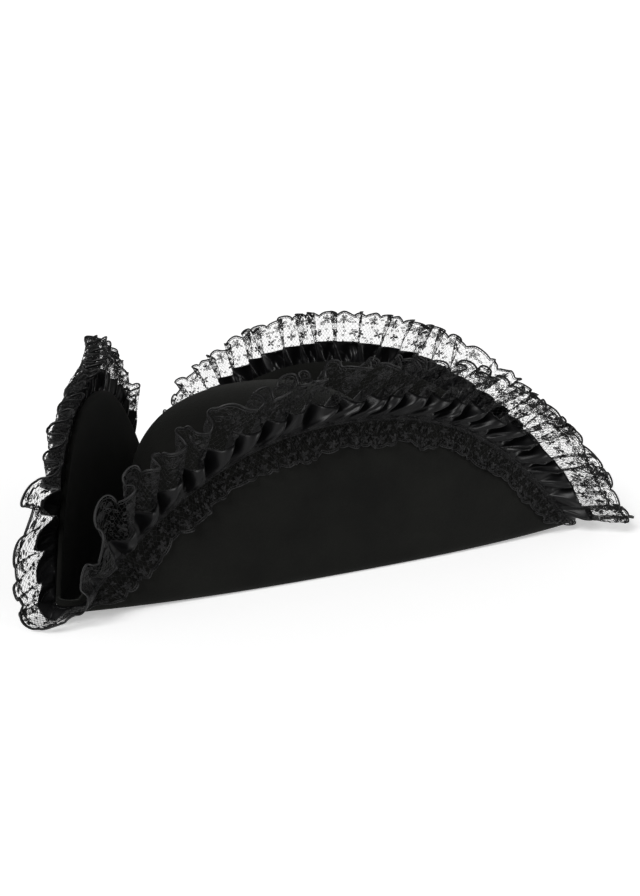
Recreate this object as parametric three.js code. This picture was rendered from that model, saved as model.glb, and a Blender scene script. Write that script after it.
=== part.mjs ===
// Tricorn hat: one felt body with a domed crown and a brim turned up on three sides, edged on each side
// with a gathered satin ribbon that carries a wide lace frill outside and a narrow lace frill inside.
// Millimetres, +Z up. The wearer faces -Y, so the front corner points to -Y and the left side is at +X.
// The hat rests on the flat underside of its brim, and the origin is the bottom centre of its box.
import * as THREE from "three";

// Felt body. Crown sizes are to the middle of the felt wall.
const FELT_WALL = 2.4;
const CROWN_HALF_WIDTH = 86;
const CROWN_HALF_LENGTH = 99;
const CROWN_HEIGHT = 103;
const CROWN_SIDE_POWER = 2.2; // exponents of the crown's upright section, where 2 and 2 make an ellipse
const CROWN_TOP_POWER = 3.3; // more makes the sides straighter
const CROWN_FOOT_RADIUS = 3.5; // where the crown wall turns out into the brim
const FRONT_SPAN = 108; // from the crown's front to the front corner of the fold
const SIDE_GAP = 15; // from the crown to the straight fold of each side
const REAR_GAP = 10; // from the crown to the straight fold of the rear
const CORNER_RADIUS = 8; // round of the three corners, seen from above
const FOLD_RADIUS = 5; // round of the fold, seen in section
const CORNER_LIP = 2; // height of the brim above the fold's round at a corner
const CORNER_LIFT = 3.5; // of the brim's floor at the corners
const LIFT_POWER = 3; // more keeps the sides' middles flat for longer
const FLAT_SHARE = 0.35; // of the brim's floor, next to the crown, that lies flat
const SIDE_HEIGHT = 97; // highest point of each side flap
const REAR_HEIGHT = 106; // highest point of the rear flap
const SIDE_LEAN = 2; // degrees outwards from upright
const REAR_LEAN = 1;
const SIDE_BULGE = 6; // how far a side's fold bows out from its straight line
const REAR_BULGE = 6;
const EDGE_FULLNESS = 2.3; // exponents of the flap's outline, where 2 and 1 make a parabola
const EDGE_STEEPNESS = 1;

// Trim
const TRIM_WALL = 1;
const CLEARANCE = 0.3; // between neighbouring pieces
const SEAM_DEPTH = 2.5; // of the gathered seam below the felt's edge
const SATIN_WIDTH = 17.5;
const OUTER_LACE_WIDTH = 23;
const INNER_LACE_WIDTH = 17;
const PLEAT_PITCH = 15; // along the felt's edge
const GATHER_WAVE = 0.9; // half the depth of the pleats at the seam
const SATIN_WAVE = 4; // and at the ribbon's outer edge
const OUTER_LACE_WAVE = 5.5;
const INNER_LACE_WAVE = 1.8;
const SCALLOP_DEPTH = 1.6; // of each lace's free edge
const CORNER_FLARE = 48; // degrees that the frill turns out of its flap's plane where the corner's round starts
const FRONT_DROOP = 13; // degrees below level that the frill points at the front corner
const REAR_DROOP = -2; // and at the rear corners
const FRONT_REACH_SHARE = 0.5; // of the frill's width that it reaches at the front corner
const REAR_REACH_SHARE = 1; // and at the rear corners
const CORNER_TURN = 0.24; // share of the half side over which it turns to its corner direction
const CORNER_WAVE_SHARE = 0.4; // of the pleats' depth that is left where the frill fans out round a corner
const CORNER_INLET_WIDTH = 4.5; // of the inner lace, cut narrow round the corners
const INLET_MITRE = 0.06; // share of the half side over which it narrows

// The height of each section of one pleat, from 1 for a ridge to -1 for a valley.
const FRILL_PLEAT = [1, 1, -1, -1];
const INLET_PLEAT = [1, -1];

// How finely the felt is cut up
const SIDE_STEPS = 17; // columns along each side
const CORNER_STEPS = 4; // and round each corner
const CORNER_SWEEP = THREE.MathUtils.degToRad(16); // of the crown's foot that faces each corner
const CROWN_RINGS = [74, 58, 42, 26, 12, 4]; // degrees up the crown's section, the top being 90
const FOOT_ARC = [0, 45, 90]; // degrees round the crown's foot
const FOLD_ARC = [0, 30, 60]; // degrees round the fold, before its end on the flap
const FLAP_ROWS = [0.35, 0.7, 1]; // shares of the flap above the fold

// How finely the edge is measured
const EDGE_STEPS = 300; // along each side
const ARC_STEPS = 12; // along each half of a corner
const TANGENT_STEP = 3; // to either side, which also rounds off the trim's path into a corner
const ANGLE_TOLERANCE = 1e-9;

const UP = new THREE.Vector3(0, 0, 1);
const radians = THREE.MathUtils.degToRad;
const mix = THREE.MathUtils.lerp;
const smooth = THREE.MathUtils.smoothstep;

// The straight fold of each side passes the front corner and stays SIDE_GAP from the crown's oval.
// Its outward normal lies this angle in front of +X.
function sideNormalAngle() {
  const reach = CROWN_HALF_LENGTH + FRONT_SPAN;
  const spare = (angle) =>
    reach * Math.sin(angle) -
    Math.hypot(CROWN_HALF_WIDTH * Math.cos(angle), CROWN_HALF_LENGTH * Math.sin(angle)) -
    SIDE_GAP;
  let low = 0;
  let high = Math.PI / 2;
  while (high - low > ANGLE_TOLERANCE) {
    const middle = (low + high) / 2;
    if (spare(middle) < 0) low = middle;
    else high = middle;
  }
  return high;
}

const frontY = -(CROWN_HALF_LENGTH + FRONT_SPAN);
const rearY = CROWN_HALF_LENGTH + REAR_GAP;
const rearX = (rearY - frontY) * Math.tan(sideNormalAngle());
const frontCorner = new THREE.Vector3(0, frontY, 0);
const leftCorner = new THREE.Vector3(rearX, rearY, 0);
const rightCorner = new THREE.Vector3(-rearX, rearY, 0);

// One row for each side, counter-clockwise from above. The flares are the trim's tilt out of the flap,
// in degrees, near the side's start, at its middle and near its end. The curls are how far the outer lace
// turns in from there over the flap, in degrees, at the same places.
const SIDES = [
  {
    name: "left",
    from: frontCorner,
    to: leftCorner,
    height: SIDE_HEIGHT,
    lean: SIDE_LEAN,
    bulge: SIDE_BULGE,
    flares: [32, 28, 26],
    curls: [0, 0, 0],
  },
  {
    name: "rear",
    from: leftCorner,
    to: rightCorner,
    height: REAR_HEIGHT,
    lean: REAR_LEAN,
    bulge: REAR_BULGE,
    flares: [10, 2, 10],
    curls: [0, 0, 0],
  },
  {
    name: "right",
    from: rightCorner,
    to: frontCorner,
    height: SIDE_HEIGHT,
    lean: SIDE_LEAN,
    bulge: SIDE_BULGE,
    flares: [2, 0, 2],
    curls: [30, 46, 0],
  },
];

// Each side's straight stretch starts and ends where the corner rounds begin.
for (const [index, side] of SIDES.entries()) {
  side.before = SIDES[(index + SIDES.length - 1) % SIDES.length];
  side.after = SIDES[(index + 1) % SIDES.length];
  side.along = side.to.clone().sub(side.from).normalize();
  side.out = side.along.clone().cross(UP);
}
for (const side of SIDES) {
  const startTurn = side.before.along.angleTo(side.along);
  const endTurn = side.along.angleTo(side.after.along);
  side.start = side.from.clone().addScaledVector(side.along, CORNER_RADIUS * Math.tan(startTurn / 2));
  side.end = side.to.clone().addScaledVector(side.along, -CORNER_RADIUS * Math.tan(endTurn / 2));
}

const cornerHeight = CORNER_LIFT + FELT_WALL / 2 + FOLD_RADIUS + CORNER_LIP;

// The height of the brim's floor at the fold. u runs from -1 to 1 along a side.
function floorLift(u) {
  return CORNER_LIFT * Math.abs(u) ** LIFT_POWER;
}

// A point of a side's fold, seen from above.
function foldPoint(side, u) {
  return new THREE.Vector3()
    .lerpVectors(side.start, side.end, (u + 1) / 2)
    .addScaledVector(side.out, side.bulge * (1 - u * u));
}

// The way out of the bowed flap at one place.
function outAt(side, u) {
  const half = side.start.distanceTo(side.end) / 2;
  return side.out
    .clone()
    .addScaledVector(side.along, (2 * side.bulge * u) / half)
    .normalize();
}

// The height of the flap's edge.
function flapHeight(side, u) {
  const share = (1 - Math.abs(u) ** EDGE_FULLNESS) ** EDGE_STEEPNESS;
  return mix(cornerHeight, side.height, share);
}

// The middle of the felt at the flap's edge, above a foot on the fold.
function flapEdge({ foot, out, lean, height }) {
  const tilt = radians(lean);
  const wallStart = FELT_WALL / 2 + FOLD_RADIUS;
  const outwards = FOLD_RADIUS * (Math.cos(tilt) - 1) + (height - wallStart) * Math.tan(tilt);
  return foot.clone().addScaledVector(out, outwards).setZ(height);
}

// A place on a side: where it stands on the fold, which way is out, how the flap leans, how far the floor
// lifts and how high the flap goes.
function sidePlace(side, u) {
  return { foot: foldPoint(side, u), out: outAt(side, u), lean: side.lean, lift: floorLift(u), height: flapHeight(side, u) };
}

// A place on the round of the corner at a side's end, with share from 0 to 1 round it.
function cornerPlace(side, share) {
  const startOut = outAt(side, 1);
  const out = startOut.clone().applyAxisAngle(UP, startOut.angleTo(outAt(side.after, -1)) * share);
  return {
    foot: side.end.clone().addScaledVector(side.out, -CORNER_RADIUS).addScaledVector(out, CORNER_RADIUS),
    out,
    lean: mix(side.lean, side.after.lean, share),
    lift: CORNER_LIFT,
    height: cornerHeight,
  };
}

// The felt's columns, counter-clockwise. angle is where a column leaves the crown's foot.
function feltColumns() {
  const columns = [];
  for (const side of SIDES) {
    const startAngle = Math.atan2(side.from.y, side.from.x) + CORNER_SWEEP / 2;
    let endAngle = Math.atan2(side.to.y, side.to.x) - CORNER_SWEEP / 2;
    if (endAngle < startAngle) endAngle += 2 * Math.PI;
    for (let i = 0; i <= SIDE_STEPS; i++) {
      const u = Math.sin((Math.PI / 2) * ((2 * i) / SIDE_STEPS - 1));
      columns.push({ ...sidePlace(side, u), angle: mix(startAngle, endAngle, i / SIDE_STEPS) });
    }
    for (let i = 1; i < CORNER_STEPS; i++) {
      const share = i / CORNER_STEPS;
      columns.push({ ...cornerPlace(side, share), angle: endAngle + CORNER_SWEEP * share });
    }
  }
  return columns;
}

// The middle of the felt down one column, from the crown's top ring to the brim's edge.
function feltColumn({ foot, out, lean, lift, height, angle }) {
  const ray = new THREE.Vector3(Math.cos(angle), Math.sin(angle), 0);
  const oval = 1 / Math.hypot(ray.x / CROWN_HALF_WIDTH, ray.y / CROWN_HALF_LENGTH);
  const floor = FELT_WALL / 2;
  const wallFoot = floor + CROWN_FOOT_RADIUS;
  const points = [];
  for (const degrees of CROWN_RINGS) {
    const radius = oval * Math.cos(radians(degrees)) ** (2 / CROWN_SIDE_POWER);
    const rise = Math.sin(radians(degrees)) ** (2 / CROWN_TOP_POWER);
    points.push(ray.clone().multiplyScalar(radius).setZ(mix(wallFoot, CROWN_HEIGHT, rise)));
  }
  const crownFoot = ray.clone().multiplyScalar(oval);
  for (const degrees of FOOT_ARC) {
    const turned = radians(degrees);
    points.push(
      crownFoot
        .clone()
        .addScaledVector(ray, CROWN_FOOT_RADIUS * (1 - Math.cos(turned)))
        .setZ(wallFoot - CROWN_FOOT_RADIUS * Math.sin(turned)),
    );
  }
  const floorStart = points[points.length - 1];
  const floorEnd = foot.clone().addScaledVector(out, -FOLD_RADIUS).setZ(floor + lift);
  for (const share of [FLAT_SHARE, (1 + FLAT_SHARE) / 2]) {
    const rise = lift * ((share - FLAT_SHARE) / (1 - FLAT_SHARE)) ** 2;
    points.push(new THREE.Vector3().lerpVectors(floorStart, floorEnd, share).setZ(floor + rise));
  }
  for (const degrees of [...FOLD_ARC, 90 - lean]) {
    const turned = radians(degrees);
    points.push(
      floorEnd
        .clone()
        .addScaledVector(out, FOLD_RADIUS * Math.sin(turned))
        .addScaledVector(UP, FOLD_RADIUS * (1 - Math.cos(turned))),
    );
  }
  const wallStart = points[points.length - 1];
  const edge = flapEdge({ foot, out, lean, height });
  for (const share of FLAP_ROWS) points.push(new THREE.Vector3().lerpVectors(wallStart, edge, share));
  return points;
}

// Normals of a grid of points, rows[i][k], from each point's neighbours along both ways of the grid.
function gridNormals(rows, closed, start) {
  const count = rows.length;
  return rows.map((row, i) => {
    const before = rows[closed ? (i + count - 1) % count : Math.max(i - 1, 0)];
    const after = rows[closed ? (i + 1) % count : Math.min(i + 1, count - 1)];
    return row.map((point, k) => {
      const across = new THREE.Vector3().subVectors(after[k], before[k]);
      const inner = k > 0 ? row[k - 1] : (start ?? point);
      const down = new THREE.Vector3().subVectors(row[Math.min(k + 1, row.length - 1)], inner);
      return across.cross(down).normalize();
    });
  });
}

// A closed solid from a sheet: rows[i][k] is its middle, and its two faces lie half the wall to either side.
// A closed sheet joins its last row to its first, and a start point fills the hole inside k = 0.
function sheetSolid(rows, wall, { closed = false, start = null } = {}) {
  const normals = gridNormals(rows, closed, start);
  const length = rows[0].length;
  const positions = [];
  const indices = [];
  const faces = [wall / 2, -wall / 2].map((offset) =>
    rows.map((row, i) =>
      row.map((point, k) => {
        const vertex = point.clone().addScaledVector(normals[i][k], offset);
        positions.push(vertex.x, vertex.y, vertex.z);
        return positions.length / 3 - 1;
      }),
    ),
  );
  const [front, back] = faces;
  const quad = (a, b, c, d) => indices.push(a, b, c, a, c, d);
  const strips = closed ? rows.length : rows.length - 1;
  for (let i = 0; i < strips; i++) {
    const j = (i + 1) % rows.length;
    for (let k = 0; k + 1 < length; k++) {
      quad(front[i][k], front[j][k], front[j][k + 1], front[i][k + 1]);
      quad(back[i][k], back[i][k + 1], back[j][k + 1], back[j][k]);
    }
    quad(front[i][length - 1], front[j][length - 1], back[j][length - 1], back[i][length - 1]);
    if (!start) quad(front[i][0], back[i][0], back[j][0], front[j][0]);
  }
  if (start) {
    const normal = new THREE.Vector3();
    for (const row of normals) normal.add(row[0]);
    normal.normalize();
    const poles = [wall / 2, -wall / 2].map((offset) => {
      const pole = start.clone().addScaledVector(normal, offset);
      positions.push(pole.x, pole.y, pole.z);
      return positions.length / 3 - 1;
    });
    for (let i = 0; i < rows.length; i++) {
      const j = (i + 1) % rows.length;
      indices.push(poles[0], front[j][0], front[i][0]);
      indices.push(poles[1], back[i][0], back[j][0]);
    }
  }
  if (!closed) {
    const last = rows.length - 1;
    for (let k = 0; k + 1 < length; k++) {
      quad(front[0][k], front[0][k + 1], back[0][k + 1], back[0][k]);
      quad(front[last][k], back[last][k], back[last][k + 1], front[last][k + 1]);
    }
  }
  return new THREE.BufferGeometry()
    .setAttribute("position", new THREE.Float32BufferAttribute(positions, 3))
    .setIndex(indices);
}

// The places along the trim of one side, from the middle of one corner to the middle of the next, with the
// distance at which each lies along the felt's edge. bend is 0 on the side and 1 at a corner's middle.
function trimPlaces(side) {
  const places = [];
  for (let i = 0; i < ARC_STEPS; i++) {
    const share = (1 + i / ARC_STEPS) / 2;
    places.push({ ...cornerPlace(side.before, share), u: -1, bend: 2 - 2 * share });
  }
  for (let i = 0; i <= EDGE_STEPS; i++) {
    const u = -Math.cos((Math.PI * i) / EDGE_STEPS);
    places.push({ ...sidePlace(side, u), u, bend: 0 });
  }
  for (let i = 1; i <= ARC_STEPS; i++) {
    const share = i / ARC_STEPS / 2;
    places.push({ ...cornerPlace(side, share), u: 1, bend: 2 * share });
  }
  let at = 0;
  for (const [i, place] of places.entries()) {
    place.edge = flapEdge(place);
    if (i > 0) at += place.edge.distanceTo(places[i - 1].edge);
    place.at = at;
  }
  return places;
}

// The trim's place at a distance along the edge.
function placeAt(places, at) {
  const next = Math.max(places.findIndex((place) => place.at >= at), 1);
  const [low, high] = [places[next - 1], places[next]];
  const share = (at - low.at) / (high.at - low.at);
  return {
    edge: new THREE.Vector3().lerpVectors(low.edge, high.edge, share),
    out: new THREE.Vector3().lerpVectors(low.out, high.out, share).normalize(),
    lean: mix(low.lean, high.lean, share),
    u: mix(low.u, high.u, share),
    bend: mix(low.bend, high.bend, share),
  };
}

// The way that the frill reaches at a corner, level but for its droop. It turns from the corner's flare
// to the line that halves the corner. Its length is the share of the frill's width that it reaches.
function cornerReach(side, u, bend) {
  const atStart = u < 0;
  const turn = side.along.angleTo((atStart ? side.before : side.after).along);
  const flare = mix(radians(CORNER_FLARE), (Math.PI - turn) / 2, bend);
  const atFront = (atStart ? side.from : side.to) === frontCorner;
  const droop = radians(atFront ? FRONT_DROOP : REAR_DROOP);
  return side.along
    .clone()
    .multiplyScalar(Math.sign(u) * Math.cos(flare))
    .addScaledVector(side.out, Math.sin(flare))
    .multiplyScalar(Math.cos(droop))
    .addScaledVector(UP, -Math.sin(droop))
    .multiplyScalar(atFront ? FRONT_REACH_SHARE : REAR_REACH_SHARE);
}

// An angle at u along a side, from its three values in degrees.
function angleAt([start, middle, end], u) {
  return radians(mix(middle, u < 0 ? start : end, smooth(Math.abs(u), 0, 1)));
}

// The trim's frame at one place of the edge: the way out of the flap, the way over its edge, the way that
// the frill reaches, the way that its pleats stand, how deep they are, how far the outer lace curls in,
// and the inner lace's width.
function trimFrame(side, places, at) {
  const length = places[places.length - 1].at;
  const { edge, out, lean, u, bend } = placeAt(places, at);
  const ahead = placeAt(places, Math.min(at + TANGENT_STEP, length)).edge;
  const behind = placeAt(places, Math.max(at - TANGENT_STEP, 0)).edge;
  const tangent = ahead.sub(behind).normalize();
  const face = out.clone().multiplyScalar(Math.cos(radians(lean))).addScaledVector(UP, -Math.sin(radians(lean)));
  const over = face.clone().cross(tangent).normalize();
  const flare = angleAt(side.flares, u);
  const free = over.clone().multiplyScalar(Math.cos(flare)).addScaledVector(face, Math.sin(flare));
  const turn = smooth(Math.abs(u), 1 - CORNER_TURN, 1);
  const corner = cornerReach(side, u, bend);
  const reachShare = mix(1, corner.length(), turn);
  const reach = free.lerp(corner.normalize(), turn).setLength(reachShare);
  const wave = tangent.clone().cross(reach).normalize();
  const waveShare = mix(1, CORNER_WAVE_SHARE, turn);
  const inlet = mix(INNER_LACE_WIDTH, CORNER_INLET_WIDTH, smooth(Math.abs(u), 1 - INLET_MITRE, 1));
  const curl = angleAt(side.curls, u) * (1 - turn);
  return { edge, face, over, reach, wave, waveShare, curl, inlet };
}

const touchOffset = FELT_WALL / 2 + CLEARANCE + TRIM_WALL / 2; // of a strip's middle that lies on the felt
const seamOffset = touchOffset + mix(GATHER_WAVE, SATIN_WAVE, SEAM_DEPTH / SATIN_WIDTH);
const seamGap = 2 * CLEARANCE + TRIM_WALL / 2; // keeps the ribbon's tilted edge clear of the inner lace
const laceGap = CLEARANCE / Math.min(FRONT_REACH_SHARE, REAR_REACH_SHARE); // at a corner it shrinks to the clearance
const frillWidth = SATIN_WIDTH + OUTER_LACE_WIDTH;

// The gathered seam that holds the ribbon and the inner lace to the felt.
function seamPoint(frame) {
  return frame.edge.clone().addScaledVector(frame.face, seamOffset).addScaledVector(frame.over, -SEAM_DEPTH);
}

// The middle of the ribbon and of the outer lace beyond it, at a distance from the seam.
function frillPoint(frame, distance, wave) {
  const onRibbon = Math.min(distance, SATIN_WIDTH);
  const past = distance - onRibbon;
  const depth =
    past > 0
      ? mix(SATIN_WAVE, OUTER_LACE_WAVE, past / OUTER_LACE_WIDTH)
      : mix(GATHER_WAVE, SATIN_WAVE, distance / SATIN_WIDTH);
  const waveWay = new THREE.Vector3().lerpVectors(frame.face, frame.wave, onRibbon / SATIN_WIDTH);
  const height = depth * wave * mix(1, frame.waveShare, distance / frillWidth);
  return seamPoint(frame)
    .addScaledVector(frame.reach, onRibbon + past * Math.cos(frame.curl))
    .addScaledVector(frame.wave, -past * Math.sin(frame.curl))
    .addScaledVector(waveWay, height);
}

// The middle of the inner lace, at a distance from the seam down over the felt, for the full width.
function inletPoint(frame, distance, wave) {
  const share = distance / INNER_LACE_WIDTH;
  const depth = mix(GATHER_WAVE, INNER_LACE_WAVE, share);
  const settle = mix(0, touchOffset + INNER_LACE_WAVE - seamOffset, share);
  return seamPoint(frame)
    .addScaledVector(frame.face, settle + depth * wave)
    .addScaledVector(frame.over, -mix(seamGap, frame.inlet, (distance - seamGap) / (INNER_LACE_WIDTH - seamGap)));
}

// A pleated strip along one side, between two distances from the seam. Its free edge is scalloped, and
// its ends stop just short of the corners' middles, where the next side's strip goes on.
function pleatedStrip(side, surface, near, far, scallop, pleat) {
  const places = trimPlaces(side);
  const length = places[places.length - 1].at;
  const steps = Math.round(length / PLEAT_PITCH) * pleat.length;
  const rows = [];
  for (let i = 0; i <= steps; i++) {
    const wave = pleat[i % pleat.length];
    const cut = (scallop * (1 - wave)) / 2;
    const frame = trimFrame(side, places, mix(CLEARANCE, length - CLEARANCE, i / steps));
    rows.push([surface(frame, near, wave), surface(frame, far - cut, wave)]);
  }
  return sheetSolid(rows, TRIM_WALL);
}

function piece(name, geometry, material) {
  const mesh = new THREE.Mesh(geometry, material);
  mesh.name = name;
  return mesh;
}

const felt = new THREE.MeshStandardMaterial({ color: 0x12120f, roughness: 0.95, metalness: 0 });
const satin = new THREE.MeshStandardMaterial({ color: 0x0d0d0f, roughness: 0.32, metalness: 0 });
const lace = new THREE.MeshStandardMaterial({ color: 0x141416, roughness: 0.8, metalness: 0 });

const hat = new THREE.Group();
const crownTop = new THREE.Vector3(0, 0, CROWN_HEIGHT);
const feltRows = feltColumns().map(feltColumn);
hat.add(piece("felt_body", sheetSolid(feltRows, FELT_WALL, { closed: true, start: crownTop }), felt));
for (const side of SIDES) {
  const ribbon = pleatedStrip(side, frillPoint, 0, SATIN_WIDTH, 0, FRILL_PLEAT);
  hat.add(piece(`satin_ruffle_${side.name}`, ribbon, satin));
  const outerStart = SATIN_WIDTH + laceGap + (TRIM_WALL / 2) * Math.sin(radians(Math.max(...side.curls)));
  const outerLace = pleatedStrip(side, frillPoint, outerStart, frillWidth, SCALLOP_DEPTH, FRILL_PLEAT);
  hat.add(piece(`outer_lace_${side.name}`, outerLace, lace));
  const innerLace = pleatedStrip(side, inletPoint, seamGap, INNER_LACE_WIDTH, SCALLOP_DEPTH, INLET_PLEAT);
  hat.add(piece(`inner_lace_${side.name}`, innerLace, lace));
}

// Stand the bottom centre of the whole hat on the origin.
const box = new THREE.Box3().setFromObject(hat);
hat.position.set(-(box.min.x + box.max.x) / 2, -(box.min.y + box.max.y) / 2, -box.min.z);

export default hat;
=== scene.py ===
"""Tricorn hat: a felt body with a domed crown and a brim turned up on three sides, edged with gathered
satin ribbon, a wide frill of net lace outside it and a narrow one inside.

The frame holds the hat's solids. Each piece here stands for one of them, with its cloth, folds, net and
stitches. Sizes are in millimetres in the hat's own axes and become metres of the frame in to_frame().
The wearer faces -Y, so the front corner points to -Y and the left side is at +X.
"""

import math

import bpy
import numpy as np
from bpy.props import FloatProperty, FloatVectorProperty, IntProperty, PointerProperty
from mathutils import Matrix, Vector, noise


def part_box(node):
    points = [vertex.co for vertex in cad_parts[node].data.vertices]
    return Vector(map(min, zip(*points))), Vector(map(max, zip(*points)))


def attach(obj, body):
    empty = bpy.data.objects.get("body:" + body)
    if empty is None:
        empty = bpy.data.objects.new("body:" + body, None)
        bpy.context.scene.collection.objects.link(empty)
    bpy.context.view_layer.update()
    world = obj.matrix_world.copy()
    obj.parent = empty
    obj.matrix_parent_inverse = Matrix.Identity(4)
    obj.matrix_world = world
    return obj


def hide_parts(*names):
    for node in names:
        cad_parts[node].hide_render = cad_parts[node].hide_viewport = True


bl_info = {
    "name": "Tricorn Hat",
    "version": (1, 0, 0),
    "blender": (4, 5, 0),
    "location": "View3D > Sidebar > Tricorn",
    "description": "Dresses a tricorn hat in felt, gathered satin and net lace",
    "category": "Add Mesh",
}

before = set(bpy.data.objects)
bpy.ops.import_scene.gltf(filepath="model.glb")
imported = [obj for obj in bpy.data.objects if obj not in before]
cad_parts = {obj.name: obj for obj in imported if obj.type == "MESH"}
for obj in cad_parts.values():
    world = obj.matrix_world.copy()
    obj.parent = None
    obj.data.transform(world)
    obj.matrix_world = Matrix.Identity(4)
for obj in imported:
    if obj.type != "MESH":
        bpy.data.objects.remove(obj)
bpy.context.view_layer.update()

MM = 0.001
UP = np.array([0.0, 0.0, 1.0])

# Felt body, to the middle of its wall
FELT_WALL = 2.4
CROWN_HALF_WIDTH = 86
CROWN_HALF_LENGTH = 99
CROWN_HEIGHT = 103
CROWN_SIDE_POWER = 2.2
CROWN_TOP_POWER = 3.3
CROWN_FOOT_RADIUS = 3.5
FRONT_SPAN = 108  # from the crown's front to the front corner
SIDE_GAP = 15  # from the crown to a side's fold, where they are closest
REAR_GAP = 10
CORNER_RADIUS = 8
FOLD_RADIUS = 5  # between the floor and a flap
CORNER_LIP = 2  # of the flap above its fold at a corner
CORNER_LIFT = 3.5  # of a corner off the surface that the hat stands on
LIFT_POWER = 3  # how late along a side the lift sets in
FLAT_SHARE = 0.35  # of the floor, from the crown out, that stays flat at a corner
SIDE_HEIGHT = 97
REAR_HEIGHT = 106
SIDE_LEAN = 2  # outwards, in degrees
REAR_LEAN = 1
SIDE_BULGE = 6  # of a side's middle past the straight line between its corners
REAR_BULGE = 6
EDGE_FULLNESS = 2.3  # how broad the arch of a flap's edge is
CORNER_SWEEP = math.radians(16)  # round the crown's axis, that a corner's columns take up

# How the felt has been handled
DENT_REACH = 70  # width of the broad soft dents
RIPPLE_REACH = 22
RIPPLE_PART = 5  # the dents are this many times as deep as the ripples
EDGE_STILL = 19.2  # the felt lies true for this far below the flap's edge, where the trim is sewn on
EDGE_LOOSE = 48  # and is as soft as elsewhere from this far down
DENT_FULL_HEIGHT = 12  # the floor lies true, and the dents are full from this height up

# Trim
CLEARANCE = 0.3
SEAM_DEPTH = 2.5  # of the seam below the felt's edge
SATIN_WIDTH = 17.5
OUTER_LACE_WIDTH = 23
INNER_LACE_WIDTH = 17
PLEAT_PITCH = 15
SATIN_WAVE = 4  # half the depth of the ribbon's pleats at its outer edge
OUTER_LACE_WAVE = 5.5
INNER_LACE_WAVE = 1.8
CORNER_FLARE = 48  # of the trim from the side's line at a corner, in degrees
FRONT_DROOP = 13  # below the level at the front corner, in degrees
REAR_DROOP = -2
FRONT_REACH_SHARE = 0.5  # of the trim's width that it reaches out at the front corner
REAR_REACH_SHARE = 1
CORNER_TURN = 0.24  # of each half side, over which the trim turns to its corner's way
CORNER_WAVE_SHARE = 0.4  # of the pleats' depth that is left at a corner
CORNER_INLET_WIDTH = 4.5
INLET_MITRE = 0.06  # of each half side, over which the inner lace narrows to its corner
FRILL_WIDTH = SATIN_WIDTH + OUTER_LACE_WIDTH

# Cloth cut for each pleat, before it was gathered
SATIN_CUT = 24
OUTER_LACE_CUT = 28
INNER_LACE_CUT = 19
LACE_LAP = 1.4  # of the outer lace over the ribbon's edge

# How the ribbon's and the wide lace's pleats fall
HEADER = 2.2  # of ribbon below the seam, flat on the felt
HEADER_PRESS = 0.8  # of the gathers' depth that is pressed out of the header
OPENING = 0.7  # how soon the pleats open out from the seam
TUCK = 0.07  # how far the ribbon's ridges spread over their valleys, in pitches
LOOP = 0.1  # how far the lace's ridges and valleys both swell into loops at its free edge, in pitches
LOOP_FULL_AT = 0.7  # of the lace's width, from where its loops are full
KNIFE = 0.1  # how far a ridge lies over to one side, in pitches
PETAL_SHARE = 0.6  # of each ridge's shape that is a petal with a neck, the rest being a peak
PETAL_NECK = 0.42  # how narrow a petal is at the seam
NECK_POWER = 1.5  # how soon its neck widens
PEAK_POWER = 0.7  # how steeply a peak rises out of its valley, less steeply as it nears 1
PEAK_START = 0.01  # keeps the valley's bottom round
ROUNDS_OFF = (0.8, 1.3)  # where petals turn into loops, with 1 at the ribbon's edge and 2 at the lace's
VALLEY_DEPTH = 1.25  # of the ribbon's valleys, as a share of its ridges' height
FELT_MARGIN = 1.5  # past the felt's edge before a valley may dip below the felt's face
DIP_SLOPE = 3  # how steeply it may dip there
LACE_EVENING = 0.4  # how far a full pleat's lace lies back, and a flat one's stands out
CURL_BEND = 16  # length over which the lace turns in where it curls
CURL_AT = 0.32  # where along the side it curls most, from -1 at its start to 1 at its end
CURL_SPREAD = 0.34  # how far to either side of there the curl goes on

# How unevenly they fall. In a pair, the first is how far something strays and the second how many new
# random values it has in each pleat.
END_PLEATS = 1.2  # at a strip's ends, over which the straying sets in, so that the strips meet evenly
SPACING_STRAY = (0.17, 0.9)  # of the pleats along the seam, in pitches
FINE_SPACING_STRAY = (0.09, 2.1)
KNIFE_STRAY = (0.5, 0.8)
LEAN_STRAY = (0.2, 0.7)
FULLNESS_STRAY = (0.46, 1.1)  # of the pleats' depth
LACE_WAVER = (3.0, 1.3)  # of the wide lace's free edge
LACE_FLUTTER = (1.2, 3.1)
WAVER_POWER = 1.4  # how late over its width the lace starts to waver
EDGE_STRAY = 0.06  # how unevenly the ribbon's edge stands, as a share of its width
EDGE_STRAY_RATE = 0.8  # new random values in each pleat
EDGE_STRAY_MIDDLE = 0.2  # how much more of the edge lies back than stands out

# Puffs, folds and creases of the ribbon
RELIEF_SEED = 50  # added to a side's own seed
PUFF_STRAY = (0.5, 0.9)
PUFF_ROUNDNESS = 0.8  # over the ribbon's width, broader as it nears 0
PUFF_TOP = 1.3  # of the puff's height on a ridge
PUFF_POWER = 1.6  # how narrow a puff is along the ribbon
PUFF_DIP = 0.25  # how far the valleys sink, in puff heights
FOLD_STRENGTHS = (0.15, 1.35)  # of the weakest and the strongest
FOLD_STRAY = 0.09  # of a fold from its place, in pitches
FOLD_DRIFT = (0.6, 0.8)  # of a weak fold, and how much more a strong one drifts
FOLD_NECK = 0.3  # added to a fold's share of the width, so that it starts with some width of its own
FOLD_SPAN = (0.86, 0.08)  # how much of a half wave a fold's strength takes up, and where it starts in it
FOLD_TAPER = 0.6  # how late it fades towards its ends
CREASE_FIELD = (1.7, 1.5)  # random values along a pleat and over the ribbon's width
CREASE_SHARPNESS = 0.8
CREASE_STRAY = (0.45, 0.5)  # of the creases' strength
CRUMPLE = 0.5  # depth of the soft crumples between the folds
CRUMPLE_FIELD = (2.3, 2.6)  # random values along a pleat and over the ribbon's width
CRUMPLE_START = 9  # where in its field of random values the ribbon lies
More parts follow.
